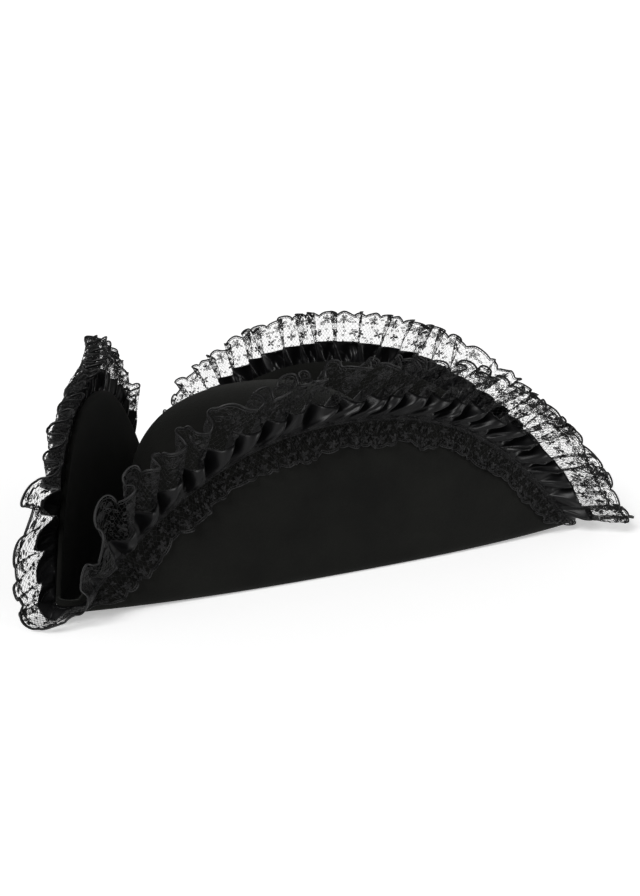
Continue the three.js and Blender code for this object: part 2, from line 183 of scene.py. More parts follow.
RELIEF_START = (-0.05, 0.12)  # where out from the seam the relief sets in, in ribbon widths

# How the narrow lace lies
INLET_SEED = 80  # added to a side's own seed
INLET_SPACING_STRAY = (0.2, 0.9)  # of the pleats along the seam, in pitches
INLET_FINE_SPACING_STRAY = (0.1, 2.3)
INLET_DRIFT_STRAY = (0.22, 0.8)  # of the free edge from the seam's spacing
INLET_FULLNESS_STRAY = (0.5, 1.2)  # of the pleats' depth
INLET_OPENING = 0.8  # how soon the pleats open out from the seam
RUMPLES = 5.3  # half waves of small wrinkles in each pleat
RUMPLE_FIELD = (2.1, 2)  # random values along a pleat and over the lace's width
RUMPLE_FADE = 0.55  # how much of the wrinkles is gone at the free edge
SAG_RATE = 0.9  # new random values in each pleat
OFF_RIBBON = (0.1, 0.45)  # where it comes down from the ribbon's header to the felt, in shares of its width

# Lace pattern, the flowers' measures in flower radii
NET_ROW = 0.78  # between the net's rows, in cells
NET_ZIG = 0.27  # of a row to either side of its line, in cells
NET_STOP = 0.3  # short of the edge, in rows
SCALLOP_STRAY = (0.14, 0.9)  # of the scallops along the edge, in scallops
SCALLOP_DEPTH_STRAY = (0.3, 1)
SCALLOP_ROUNDNESS = 0.6  # blunter as it nears 0
PETAL_STEPS = 8  # threads round a petal
PETAL_SHAPE = (0.7, 0.3)  # a petal's breadth, and how far it is broader towards its root
RIB_PLACES = (0.12, 0.5, 0.85)  # of a petal's rib, as shares of its length
FLOWER_SETBACK = 1.75  # of the upper flower's middle from the lace's edge
PETALS = 5
PETAL = (0.22, 0.8, 0.34)  # its root's way out, its length and its width
EYE = 0.2
EYE_STEPS = 6
LOW_PETALS = 4
LOW_PETAL = (0.1, 0.7, 0.25)
LOW_FLOWER_AT = (0.02, 0.34)  # as shares of the scallop and of the lace's width
LEAF = (1.05, 0.6, 0.2)
LEAF_ANGLES = (-0.5, math.pi + 0.5)
FLOWER_ROOM = 1.1  # kept clear of rings
LOW_FLOWER_ROOM = 0.8
ROSETTE_STEPS = 6
ROSETTE_SIZES = (0.7, 1.3)
ROSETTE_SQUASH = (0.6, 1)
ROSETTE_HEM_GAP = 1.5  # in ring radii
ROSETTE_EDGE_GAP = 2
CORD_STEP = 0.8  # between the points of an edge cord
BAR_PITCH = 1.3  # between the bars across the edge's border
BAR_THINNESS = 0.8  # as a share of the flowers' thread
HEM_STEP = 1.6  # between the turns of the hem's zigzag
HEM_AT = 0.5  # off the lace's inner edge
HEM_ZIG = 0.3  # to either side of its line

# Seam stitches
SEAM_STITCH_AT = 1.2  # out from the seam
STITCH_LIFT = 0.25  # off the ribbon
STITCH_LINE_STEPS = 12  # in each pleat
STITCH_END_GAP = 0.1  # in pleats
STITCH_SIDES = 6
STITCH = {"Spacing": 0.0042, "Length": 0.0024, "Radius": 0.00026}  # in metres

# How finely things are measured and cut up
ANGLE_ERROR = 1e-9
CROWN_SAMPLES = 2000
CROWN_START = 0.02  # in degrees
EDGE_STEPS = 400
ARC_STEPS = 24
TANGENT_STEP = 3
PLEAT_SAMPLES = 400
SIDE_COLUMNS = 80
CORNER_COLUMNS = 12
CROWN_ROWS = 28
FOOT_ROWS = 7
FLOOR_ROWS = 9
FOLD_ROWS = 8
FLAP_ROWS = 18
KNOTS = 512  # random values in one wander line


def mix(low, high, share):
    return low + (high - low) * share


def smooth(value, low, high):
    share = np.clip((value - low) / (high - low), 0, 1)
    return share * share * (3 - 2 * share)


def unit(vectors):
    return vectors / np.linalg.norm(vectors, axis=-1, keepdims=True)


def tall(values):
    """Plain numbers as a column, to scale vectors with."""
    return np.asarray(values, float)[..., None]


def wander(x, seed):
    """A smooth random line between -1 and 1, with one new value at each whole number of x."""
    values = np.random.default_rng(seed).uniform(-1, 1, KNOTS)
    cell = np.floor(x).astype(int)
    share = smooth(x - cell, 0, 1)
    return mix(values[cell % KNOTS], values[(cell + 1) % KNOTS], share)


def stray(x, pair, seed):
    """A wander line of a given size, with a given number of new values in each whole number of x."""
    size, rate = pair
    return size * wander(x * rate, seed)


def wander_field(x, y, seed):
    """A smooth random field between -1 and 1 over x and y."""
    values = np.random.default_rng(seed).uniform(-1, 1, (KNOTS, KNOTS))
    column = np.floor(x).astype(int)
    row = np.floor(y).astype(int)
    across = smooth(x - column, 0, 1)
    down = smooth(y - row, 0, 1)
    near, far = column % KNOTS, (column + 1) % KNOTS
    low, high = row % KNOTS, (row + 1) % KNOTS
    return mix(
        mix(values[near, low], values[far, low], across),
        mix(values[near, high], values[far, high], across),
        down,
    )


# The brim's three sides


class Side:
    """One side of the brim. It runs counter-clockwise, seen from above, from one corner to the next."""

    def __init__(self, name, start, end, height, lean, bulge, flares, curl, pleat_lean, seed):
        self.name = name
        self.start_corner = start
        self.end_corner = end
        self.height = height
        self.lean = lean
        self.bulge = bulge
        self.flares = flares
        self.curl = curl
        self.pleat_lean = pleat_lean
        self.seed = seed
        self.along = unit(end - start)
        self.out = np.cross(self.along, UP)


def side_normal_angle():
    """How far in front of +X the side's outward normal lies."""
    reach = CROWN_HALF_LENGTH + FRONT_SPAN
    low, high = 0.0, math.pi / 2
    while high - low > ANGLE_ERROR:
        angle = (low + high) / 2
        oval = math.hypot(CROWN_HALF_WIDTH * math.cos(angle), CROWN_HALF_LENGTH * math.sin(angle))
        if reach * math.sin(angle) - oval - SIDE_GAP < 0:
            low = angle
        else:
            high = angle
    return high


FRONT_Y = -(CROWN_HALF_LENGTH + FRONT_SPAN)
REAR_Y = CROWN_HALF_LENGTH + REAR_GAP
REAR_X = (REAR_Y - FRONT_Y) * math.tan(side_normal_angle())
FRONT_CORNER = np.array([0.0, FRONT_Y, 0.0])
LEFT_CORNER = np.array([REAR_X, REAR_Y, 0.0])
RIGHT_CORNER = np.array([-REAR_X, REAR_Y, 0.0])

# Flares are the trim's tilt out of the flap, in degrees, near the side's start, at its middle and near its
# end, and curl is how far the outer lace turns in from there, where it does so most. Pleat lean is how far
# each fold drifts along the side for each millimetre out from the seam.
SIDES = [
    Side("left", FRONT_CORNER, LEFT_CORNER, SIDE_HEIGHT, SIDE_LEAN, SIDE_BULGE, (32, 28, 26), 0, 0.55, 11),
    Side("rear", LEFT_CORNER, RIGHT_CORNER, REAR_HEIGHT, REAR_LEAN, REAR_BULGE, (10, 2, 10), 0, -0.1, 23),
    Side("right", RIGHT_CORNER, FRONT_CORNER, SIDE_HEIGHT, SIDE_LEAN, SIDE_BULGE, (2, 0, 2), 44, 0.12, 37),
]


def angle_between(a, b):
    return math.acos(float(np.clip(np.dot(unit(a), unit(b)), -1, 1)))


for index, side in enumerate(SIDES):
    side.before = SIDES[index - 1]
    side.after = SIDES[(index + 1) % len(SIDES)]
for side in SIDES:
    start_cut = CORNER_RADIUS * math.tan(angle_between(side.before.along, side.along) / 2)
    end_cut = CORNER_RADIUS * math.tan(angle_between(side.along, side.after.along) / 2)
    side.start = side.start_corner + side.along * start_cut
    side.end = side.end_corner - side.along * end_cut
    side.half = np.linalg.norm(side.end - side.start) / 2

CORNER_HEIGHT = CORNER_LIFT + FELT_WALL / 2 + FOLD_RADIUS + CORNER_LIP


def out_at(side, u):
    return unit(side.out + side.along * tall(2 * side.bulge * u / side.half))


def side_places(side, u):
    """Places along a side, u from -1 to 1: the foot on the fold, the way out, lean, lift and height."""
    foot = mix(side.start, side.end, tall((u + 1) / 2)) + side.out * tall(side.bulge * (1 - u * u))
    return {
        "foot": foot,
        "out": out_at(side, u),
        "lean": np.full(u.shape, float(side.lean)),
        "lift": CORNER_LIFT * np.abs(u) ** LIFT_POWER,
        "height": mix(CORNER_HEIGHT, side.height, 1 - np.abs(u) ** EDGE_FULLNESS),
        "u": u,
        "bend": np.zeros(u.shape),
    }


def corner_places(side, share, u, bend):
    """Places round the corner at a side's end, share from 0 to 1 round it."""
    first = out_at(side, np.array(1.0))
    last = out_at(side.after, np.array(-1.0))
    turned = math.atan2(first[1], first[0]) + angle_between(first, last) * share
    out = np.stack([np.cos(turned), np.sin(turned), np.zeros(share.shape)], -1)
    return {
        "foot": side.end - side.out * CORNER_RADIUS + out * CORNER_RADIUS,
        "out": out,
        "lean": mix(side.lean, side.after.lean, share),
        "lift": np.full(share.shape, CORNER_LIFT),
        "height": np.full(share.shape, CORNER_HEIGHT),
        "u": np.full(share.shape, float(u)),
        "bend": bend,
    }


def joined(parts):
    return {key: np.concatenate([part[key] for part in parts]) for key in parts[0]}


def flap_edge(places):
    """The middle of the felt at the flap's edge."""
    tilt = np.radians(places["lean"])
    wall_start = FELT_WALL / 2 + FOLD_RADIUS
    outwards = FOLD_RADIUS * (np.cos(tilt) - 1) + (places["height"] - wall_start) * np.tan(tilt)
    edge = places["foot"] + places["out"] * tall(outwards)
    edge[:, 2] = places["height"]
    return edge


# Meshes


def felt_axis():
    """Where the crown's axis stands in the frame: the felt's box is as far right as left of it, and its
    rear face is the rear fold with its bow, lean and half the wall."""
    low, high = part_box("felt_body")
    wall_start = FELT_WALL / 2 + FOLD_RADIUS
    leaned = (REAR_HEIGHT - wall_start) * math.tan(math.radians(REAR_LEAN))
    rear = REAR_Y + REAR_BULGE + leaned + FELT_WALL / 2
    return np.array([(low.x + high.x) / 2, high.y - rear * MM, 0])


HAT_AXIS = felt_axis()


def to_frame(points):
    return np.asarray(points) * MM + HAT_AXIS


def add_object(name, mesh):
    """A mesh as a smoothly shaded object in the scene."""
    mesh.polygons.foreach_set("use_smooth", [True] * len(mesh.polygons))
    made = bpy.data.objects.new(name, mesh)
    bpy.context.scene.collection.objects.link(made)
    return made


def cloth_object(name, points, faces, material):
    mesh = bpy.data.meshes.new(name)
    mesh.from_pydata(to_frame(points).tolist(), [], faces)
    mesh.materials.append(material)
    return add_object(name, mesh)


def grid_normals(grid, closed, pole=None):
    """Normals of grid[column, row] from each point's neighbours."""
    if closed:
        across = np.roll(grid, -1, 0) - np.roll(grid, 1, 0)
    else:
        across = np.gradient(grid, axis=0)
    inner = grid[:, :1] if pole is None else np.broadcast_to(pole, grid[:, :1].shape)
    padded = np.concatenate([inner, grid, grid[:, -1:]], 1)
    down = padded[:, 2:] - padded[:, :-2]
    return unit(np.cross(across, down))


def quads(a, b, c, d):
    return np.stack([a, b, c, d], -1).reshape(-1, 4)


def sheet_solid(grid, wall, closed=False, pole=None):
    """Points and faces of a closed sheet. grid[column, row] is its middle, and its faces lie half the wall
    to either side of it. A pole closes the hole inside the first row."""
    normals = grid_normals(grid, closed, pole)
    columns, rows = grid.shape[:2]
    half = normals * wall / 2
    points = np.concatenate([(grid + half).reshape(-1, 3), (grid - half).reshape(-1, 3)])
    front = np.arange(columns * rows).reshape(columns, rows)
    back = front + columns * rows
    if closed:
        front = np.concatenate([front, front[:1]])
        back = np.concatenate([back, back[:1]])
    faces = [
        quads(front[:-1, :-1], front[1:, :-1], front[1:, 1:], front[:-1, 1:]),
        quads(back[:-1, :-1], back[:-1, 1:], back[1:, 1:], back[1:, :-1]),
        quads(front[:-1, -1], front[1:, -1], back[1:, -1], back[:-1, -1]),
    ]
    if pole is None:
        faces.append(quads(front[:-1, 0], back[:-1, 0], back[1:, 0], front[1:, 0]))
    if not closed:
        faces.append(quads(front[0, :-1], front[0, 1:], back[0, 1:], back[0, :-1]))
        faces.append(quads(front[-1, :-1], back[-1, :-1], back[-1, 1:], front[-1, 1:]))
    faces = [face.tolist() for face in np.concatenate(faces)]
    if pole is not None:
        tip = len(points)
        way = unit(normals[:, 0].mean(0))
        points = np.concatenate([points, [pole + way * wall / 2, pole - way * wall / 2]])
        for i in range(columns):
            faces.append([tip, int(front[i + 1, 0]), int(front[i, 0])])
            faces.append([tip + 1, int(back[i, 0]), int(back[i + 1, 0])])
    return points, faces


# Felt body


def crown_section():
    """Even steps up the crown's section, as shares of its radius and of its height, from the top down."""
    turned = np.radians(np.linspace(CROWN_START, 90, CROWN_SAMPLES))
    radius = np.cos(turned) ** (2 / CROWN_SIDE_POWER)
    rise = np.sin(turned) ** (2 / CROWN_TOP_POWER)
    step = np.hypot(np.diff(radius) * CROWN_HALF_WIDTH, np.diff(rise) * CROWN_HEIGHT)
    length = np.concatenate([[0], np.cumsum(step)])
    where = np.linspace(length[-1] * (1 - 1 / CROWN_ROWS / 2), 0, CROWN_ROWS)
    return np.interp(where, length, radius), np.interp(where, length, rise)


def felt_grid():
    """The middle of the felt, grid[column, row], from the crown's top to the brim's edge."""
    parts = []
    angles = []
    for side in SIDES:
        first = math.atan2(side.start_corner[1], side.start_corner[0]) + CORNER_SWEEP / 2
        last = math.atan2(side.end_corner[1], side.end_corner[0]) - CORNER_SWEEP / 2
        last += 2 * math.pi * (last < first)
        steps = np.linspace(0, 1, SIDE_COLUMNS + 1)
        parts.append(side_places(side, np.sin(math.pi / 2 * (2 * steps - 1))))
        angles.append(mix(first, last, steps))
        share = np.linspace(0, 1, CORNER_COLUMNS + 1)[1:-1]
        parts.append(corner_places(side, share, 1, share))
        angles.append(last + CORNER_SWEEP * share)
    places = joined(parts)
    angle = np.concatenate(angles)
    ray = np.stack([np.cos(angle), np.sin(angle), np.zeros(angle.shape)], -1)
    oval = 1 / np.hypot(ray[:, 0] / CROWN_HALF_WIDTH, ray[:, 1] / CROWN_HALF_LENGTH)
    floor = FELT_WALL / 2
    wall_foot = floor + CROWN_FOOT_RADIUS
    rows = []
    for radius, rise in zip(*crown_section()):
        rows.append(ray * tall(oval * radius) + UP * mix(wall_foot, CROWN_HEIGHT, rise))
    for turned in np.radians(np.linspace(90 / FOOT_ROWS, 90, FOOT_ROWS)):
        reach = oval + CROWN_FOOT_RADIUS * (1 - math.cos(turned))
        rows.append(ray * tall(reach) + UP * (wall_foot - CROWN_FOOT_RADIUS * math.sin(turned)))
    floor_start = rows[-1]
    floor_end = places["foot"] - places["out"] * FOLD_RADIUS + UP * tall(floor + places["lift"])
    for share in np.linspace(0, 1, FLOOR_ROWS + 1)[1:-1]:
        rise = places["lift"] * (max(share - FLAT_SHARE, 0) / (1 - FLAT_SHARE)) ** 2
        level = mix(floor_start, floor_end, share)
        level[:, 2] = floor + rise
        rows.append(level)
    for share in np.linspace(0, 1, FOLD_ROWS + 1):
        turned = np.radians(90 - places["lean"]) * share
        rows.append(
            floor_end
            + places["out"] * tall(FOLD_RADIUS * np.sin(turned))
            + UP * tall(FOLD_RADIUS * (1 - np.cos(turned)))
        )
    wall_start = rows[-1]
    edge = flap_edge(places)
    for share in np.linspace(0, 1, FLAP_ROWS + 1)[1:]:
        rows.append(mix(wall_start, edge, share))
    return np.stack(rows, 1), places


def felt_dents(grid, places, depth):
    """How far each point of the felt is pushed in or out by handling."""
    below_edge = tall(places["height"])[:, :1] - grid[:, :, 2]
    on_flap = np.arange(grid.shape[1]) >= grid.shape[1] - FLAP_ROWS
    still = np.where(on_flap, smooth(below_edge, EDGE_STILL, EDGE_LOOSE), 1.0)
    off_floor = smooth(grid[:, :, 2], FELT_WALL, DENT_FULL_HEIGHT)
    points = grid.reshape(-1, 3)
    broad = np.array([noise.noise(Vector(p / DENT_REACH)) for p in points]).reshape(grid.shape[:2])
    ripple = np.array([noise.noise(Vector(p / RIPPLE_REACH)) for p in points]).reshape(grid.shape[:2])
    return (broad + ripple / RIPPLE_PART) * depth * still * off_floor


# Gathered trim


def pleat_table():
    """Phase of the pleat against the share of its cloth, for the lace's middle."""
    phase = np.linspace(0, 1, PLEAT_SAMPLES)
    x = PLEAT_PITCH * (phase + LOOP / 2 * np.sin(4 * math.pi * phase))
    y = (SATIN_WAVE + OUTER_LACE_WAVE) / 2 * np.cos(2 * math.pi * phase)
    length = np.concatenate([[0], np.cumsum(np.hypot(np.diff(x), np.diff(y)))])
    return length / length[-1], phase


PLEAT_TABLE = pleat_table()

# Folds of the ribbon on each pleat: where across the pleat they stand at the seam and how far they drift
# by its outer edge, in pitches, how wide they are there, and how deep
FOLDS = [
    {"at": -0.08, "drift": 0.26, "width": 0.075, "depth": 1.7},
    {"at": -0.02, "drift": 0.3, "width": 0.06, "depth": -1.3},
    {"at": -0.3, "drift": 0.16, "width": 0.06, "depth": 1.2},
    {"at": 0.2, "drift": 0.12, "width": 0.05, "depth": -1.2},
    {"at": 0.3, "drift": -0.12, "width": 0.07, "depth": 1.1},
]

# Fine creases that run out of the gathers: how many to a pleat's cloth, how deep, how far they stray and
# how fast they fade over the ribbon's width
CREASES = [
    {"count": 3.7, "depth": 0.42, "stray": 0.6, "fade": 2.0},
    {"count": 6.3, "depth": 0.26, "stray": 0.5, "fade": 3.6},
]


def ridge_at(phase):
    """1 on each pleat's ridge and 0 in its valley."""
    return 0.5 + 0.5 * np.cos(2 * math.pi * phase)


def pleat_profile(ridge, share, past):
    """How high the cloth stands across a pleat, from -1 to 1: petals that open out from the gathers over
    the ribbon's width, as share goes to 1, and round loops over the lace's, as past does."""
    rounded = 2 * ridge - 1
    petal = 2 * smooth(ridge, PETAL_NECK * (1 - share) ** NECK_POWER, 1) - 1
    peaked = 2 * (ridge + PEAK_START) ** PEAK_POWER - 1
    folded = PETAL_SHARE * petal + (1 - PETAL_SHARE) * peaked
    profile = mix(folded, rounded, smooth(share + past, *ROUNDS_OFF))
    return np.where(profile < 0, profile * mix(VALLEY_DEPTH, 1, past), profile)


def turned_in(distance):
    """How much of the way out from the seam lies past the bend where the lace curls in."""
    bend = np.clip(distance - SATIN_WIDTH + CURL_BEND / 2, 0, CURL_BEND)
    after = np.maximum(distance - SATIN_WIDTH - CURL_BEND / 2, 0)
    return bend**2 / (2 * CURL_BEND) + after


class Trim:
    """The seam line of one side with its frame of directions, from the middle of one corner to the middle
    of the next, and the pleated surfaces that hang on it."""

    samples = 1600

    def __init__(self, side):
        self.side = side
        start = np.linspace(0.5, 1, ARC_STEPS, endpoint=False)
        end = np.linspace(0, 0.5, ARC_STEPS + 1)[1:]
        u = -np.cos(np.linspace(0, math.pi, EDGE_STEPS + 1))
        places = joined(
            [
                corner_places(side.before, start, -1, 2 - 2 * start),
                side_places(side, u),
                corner_places(side, end, 1, 2 * end),
            ]
        )
        edge = flap_edge(places)
        at = np.concatenate([[0], np.cumsum(np.linalg.norm(np.diff(edge, axis=0), axis=1))])
        self.length = at[-1]
        self.pleats = round(self.length / PLEAT_PITCH)
        self.pitch = self.length / self.pleats
        self.at = np.linspace(0, self.length, self.samples)

        def along(values, where):
            if values.ndim == 1:
                return np.interp(where, at, values)
            return np.stack([np.interp(where, at, values[:, k]) for k in range(3)], -1)

        ahead = along(edge, np.minimum(self.at + TANGENT_STEP, self.length))
        behind = along(edge, np.maximum(self.at - TANGENT_STEP, 0))
        tangent = unit(ahead - behind)
        lean = np.radians(along(places["lean"], self.at))
        u = along(places["u"], self.at)
        face = unit(along(places["out"], self.at)) * tall(np.cos(lean)) - UP * tall(np.sin(lean))
        over = unit(np.cross(face, tangent))
        first, middle, last = side.flares
        flare = np.radians(mix(middle, np.where(u < 0, first, last), smooth(np.abs(u), 0, 1)))
        curl = math.radians(side.curl) * np.exp(-(((u - CURL_AT) / CURL_SPREAD) ** 2))
        free = over * tall(np.cos(flare)) + face * tall(np.sin(flare))
        turn = smooth(np.abs(u), 1 - CORNER_TURN, 1)
        corner, share = self.corner_reach(u, along(places["bend"], self.at))
        reach = unit(mix(free, corner, tall(turn)))
        self.frame = {
            "edge": along(edge, self.at),
            "face": face,
            "over": over,
            "reach": reach * tall(mix(1, share, turn)),
            "wave": unit(np.cross(tangent, reach)),
            "calm": mix(1, CORNER_WAVE_SHARE, turn),
            "inlet": mix(INNER_LACE_WIDTH, CORNER_INLET_WIDTH, smooth(np.abs(u), 1 - INLET_MITRE, 1)),
            "turn": turn,
            "curl": curl * (1 - turn),
        }

    def corner_reach(self, u, bend):
        """The way that the frill reaches at the corners, and the share of its width that it reaches."""
        side = self.side
        start = u < 0
        start_turn = angle_between(side.along, side.before.along)
        end_turn = angle_between(side.along, side.after.along)
        flare = mix(math.radians(CORNER_FLARE), (math.pi - np.where(start, start_turn, end_turn)) / 2, bend)
        at_front = np.where(start, side.start_corner[1] == FRONT_Y, side.end_corner[1] == FRONT_Y)
        droop = np.radians(np.where(at_front, FRONT_DROOP, REAR_DROOP))
        level = side.along * tall(np.sign(u) * np.cos(flare)) + side.out * tall(np.sin(flare))
        way = level * tall(np.cos(droop)) - UP * tall(np.sin(droop))
        return way, np.where(at_front, FRONT_REACH_SHARE, REAR_REACH_SHARE)

    def frames(self, where):
        """The frame of directions at distances along the seam."""
        found = {}
        for key, values in self.frame.items():
            if values.ndim == 1:
                found[key] = np.interp(where, self.at, values)
            else:
                found[key] = np.stack([np.interp(where, self.at, values[:, k]) for k in range(3)], -1)
        return found

    def phase(self, cloth):
        """The phase along the pleats of a place along the cut cloth, both in pleats."""
        whole = np.floor(cloth)
        return whole + np.interp(cloth - whole, *PLEAT_TABLE)

    def window(self, phase):
        """0 at the strip's ends, where it meets the next side's strip, and 1 from END_PLEATS on."""
        return smooth(np.minimum(phase, self.pleats - phase), 0, END_PLEATS)

    def seam(self, found, offset):
        return found["edge"] + found["face"] * tall(offset) - found["over"] * SEAM_DEPTH

    def frill(self, cloth, distance, look, wrinkled):
        """Points of the ribbon, and of the lace beyond it, at a distance from the seam. look holds the
        depths of the ribbon's puffs and folds, which only the wrinkled ribbon has."""
        seed = self.side.seed
        phase = self.phase(cloth)
        window = self.window(phase)
        out = np.maximum(distance, 0)
        share = np.minimum(out / SATIN_WIDTH, 1)
        past = np.maximum(distance - SATIN_WIDTH, 0) / OUTER_LACE_WIDTH
        ridge = ridge_at(phase)
        found = self.frames(self.frill_place(phase, out, share, past, ridge))

        depth = mix(mix(look.gather, SATIN_WAVE, share**OPENING), OUTER_LACE_WAVE, past)
        fullness = 1 + stray(phase, FULLNESS_STRAY, seed + 3) * window
        evened = mix(0, (1 - fullness) * LACE_EVENING, past)
        lift = depth * (fullness * pleat_profile(ridge, share, past) + evened)
        lift = lift * mix(1, found["calm"], np.minimum(out / FRILL_WIDTH, 1))
        waver = stray(phase, LACE_WAVER, seed + 4) + stray(phase, LACE_FLUTTER, seed + 6)
        lift = lift + waver * past**WAVER_POWER * window
        if wrinkled:
            lift = lift + self.ribbon_relief(cloth, phase, share, look) * found["calm"]

        rest = mix(look.gather, SATIN_WAVE, (np.minimum(out, SEAM_DEPTH) / SATIN_WIDTH) ** OPENING)
        past_felt = np.maximum(out - SEAM_DEPTH - FELT_MARGIN, 0)
        lift = np.maximum(lift, -rest - DIP_SLOPE * past_felt)
        gathered = 1 - HEADER_PRESS * smooth(-distance, 0, HEADER)
        low = FELT_WALL / 2 + CLEARANCE + look.wall / 2
        seam = self.seam(found, low + rest * gathered) - found["over"] * tall(np.maximum(-distance, 0))
        inwards = turned_in(distance)
        curled = found["wave"] * tall(-inwards * np.sin(found["curl"]))
        shorter = inwards * (1 - np.cos(found["curl"]))
        way = mix(found["face"], found["wave"], tall(share))
        return seam + found["reach"] * tall(out - shorter) + curled + way * tall(lift * gathered)

    def frill_place(self, phase, out, share, past, ridge):
        """How far along the seam each point of the frill hangs."""
        seed = self.side.seed
        window = self.window(phase)
        uneven = stray(phase, SPACING_STRAY, seed) + stray(phase, FINE_SPACING_STRAY, seed + 1)
        tuck = TUCK * np.sin(2 * math.pi * phase) * share * (1 - past)
        tuck = tuck + LOOP * np.sin(4 * math.pi * phase) * smooth(past, 0, LOOP_FULL_AT)
        knife = KNIFE * self.knife_way() * ridge * share * (1 + stray(phase, KNIFE_STRAY, seed + 5))
        lean = self.side.pleat_lean * (1 - self.frame_at(phase, "turn"))
        lean = lean + stray(phase, LEAN_STRAY, seed + 2)
        hung = (phase + (uneven + tuck + knife) * window) * self.pitch
        return np.clip(hung + lean * np.minimum(out, FRILL_WIDTH) * window, 0, self.length)

    def knife_way(self):
        return 1 if self.side.pleat_lean > 0 else -1

    def frame_at(self, phase, key):
        return np.interp(phase * self.pitch, self.at, self.frame[key])

    def ribbon_relief(self, cloth, phase, share, look):
        """Puffs between the ribbon's edges, and the folds and creases that run out of its gathers."""
        seed = self.side.seed + RELIEF_SEED
        across = np.sin(math.pi * share)
        swell = 1 + stray(phase, PUFF_STRAY, seed - 1)
        puffed = PUFF_TOP * ridge_at(phase) ** PUFF_POWER - PUFF_DIP
        relief = look.puff * swell * across**PUFF_ROUNDNESS * puffed

        pleat = np.round(phase)
        knot = pleat.astype(int) % KNOTS
        middle, start = FOLD_SPAN
        span = np.sin(math.pi * np.clip(share * middle + start, 0, 1)) ** FOLD_TAPER
        for row in FOLDS:
            strength = np.random.default_rng(seed).uniform(*FOLD_STRENGTHS, KNOTS)[knot]
            strayed = np.random.default_rng(seed + 1).uniform(-FOLD_STRAY, FOLD_STRAY, KNOTS)[knot]
            drift = row["drift"] * share * (FOLD_DRIFT[0] + FOLD_DRIFT[1] * strength)
            from_fold = (phase - pleat - row["at"] - strayed - drift) / (row["width"] * (FOLD_NECK + share))
            relief += row["depth"] * look.crease * strength * span * np.exp(-(from_fold**2))
            seed += 2

        along, out = CREASE_FIELD
        for row in CREASES:
            count = cloth * row["count"]
            line = count + row["stray"] * wander_field(cloth * along, share * out, seed)
            sharp = 0.5 - np.abs(np.sin(math.pi * line)) ** CREASE_SHARPNESS
            strength = 1 - CREASE_STRAY[0] + stray(count, CREASE_STRAY, seed + 1)
            relief += row["depth"] * look.crease * sharp * strength * np.exp(-share * row["fade"])
            seed += 2

        along, out = CRUMPLE_FIELD
        crumple = wander_field(cloth * along, share * out + CRUMPLE_START, seed)
        relief += CRUMPLE * look.crease * crumple * across
        return relief * smooth(share, *RELIEF_START)

    def inlet(self, cloth, distance, look):
        """Points of the inner lace, at a distance from the seam down over the felt."""
        seed = self.side.seed + INLET_SEED
        phase = self.phase(cloth)
        window = self.window(phase)
        share = distance / INNER_LACE_WIDTH
        uneven = stray(phase, INLET_SPACING_STRAY, seed) + stray(phase, INLET_FINE_SPACING_STRAY, seed + 1)
        drift = stray(phase, INLET_DRIFT_STRAY, seed + 4) * share
        where = (phase + (uneven + drift) * window) * self.pitch
        found = self.frames(np.clip(where, 0, self.length))

        fullness = 1 + stray(phase, INLET_FULLNESS_STRAY, seed + 2) * window
        rise = ridge_at(phase) * fullness
        along, out = RUMPLE_FIELD
        rumpled = cloth * RUMPLES + wander_field(cloth * along, share * out, seed + 3)
        rumple = (0.5 + 0.5 * np.sin(math.pi * rumpled)) * (1 - RUMPLE_FADE * share)
        low = FELT_WALL / 2 + CLEARANCE + look.lace_rest
        over_ribbon = 2 * look.gather + look.lace_rest
        lie = low + over_ribbon * (1 - smooth(share, *OFF_RIBBON))
        off_felt = lie + 2 * INNER_LACE_WAVE * rise * share**INLET_OPENING + look.rumple * rumple
        sag = look.sag * wander(phase * SAG_RATE, seed + 6) * share * window
        down = SEAM_DEPTH + found["inlet"] * share + sag
        return found["edge"] + found["face"] * tall(off_felt) - found["over"] * tall(down)


TRIMS = [Trim(side) for side in SIDES]


# Lace, drawn flat and then laid on its pleated surface


class Threads:
    """Flat threads. Each point has a place along and across the cloth, in millimetres, and a radius."""

    def __init__(self):
        self.points = []
        self.radii = []
        self.edges = []
        self.count = 0

    def line(self, along, across, radius, closed=False):
        count = len(along)
        self.points.append(np.stack([along, across], -1))
        self.radii.append(np.full(count, radius))
        index = self.count + np.arange(count)
        self.edges.append(np.stack([index[:-1], index[1:]], -1))
        if closed:
            self.edges.append(np.array([[index[-1], index[0]]]))
        self.count += count

    def pairs(self, start, end, radius):
        """Many short straight threads at once."""
        count = len(start)
        self.points.append(np.stack([start, end], 1).reshape(-1, 2))
        self.radii.append(np.full(2 * count, radius))
        index = self.count + 2 * np.arange(count)
        self.edges.append(np.stack([index, index + 1], -1))
        self.count += 2 * count

    def arrays(self):
        return np.concatenate(self.points), np.concatenate(self.radii), np.concatenate(self.edges)


def round_steps(count):
    """Even angles round a circle, from 0."""
    return np.linspace(0, 2 * math.pi, count + 1)[:-1]


def even_steps(length, step):
    return np.linspace(0, length, int(length / step) + 1)


def scalloped_edge(along, width, pitch, depth, seed):
    """The free edge of the lace: round scallops, no two quite alike."""
    strayed = along / pitch + stray(along / pitch, SCALLOP_STRAY, seed)
    uneven = 1 + stray(np.floor(strayed), SCALLOP_DEPTH_STRAY, seed + 1)
    return width - depth * uneven * (1 - np.abs(np.sin(math.pi * strayed)) ** SCALLOP_ROUNDNESS)


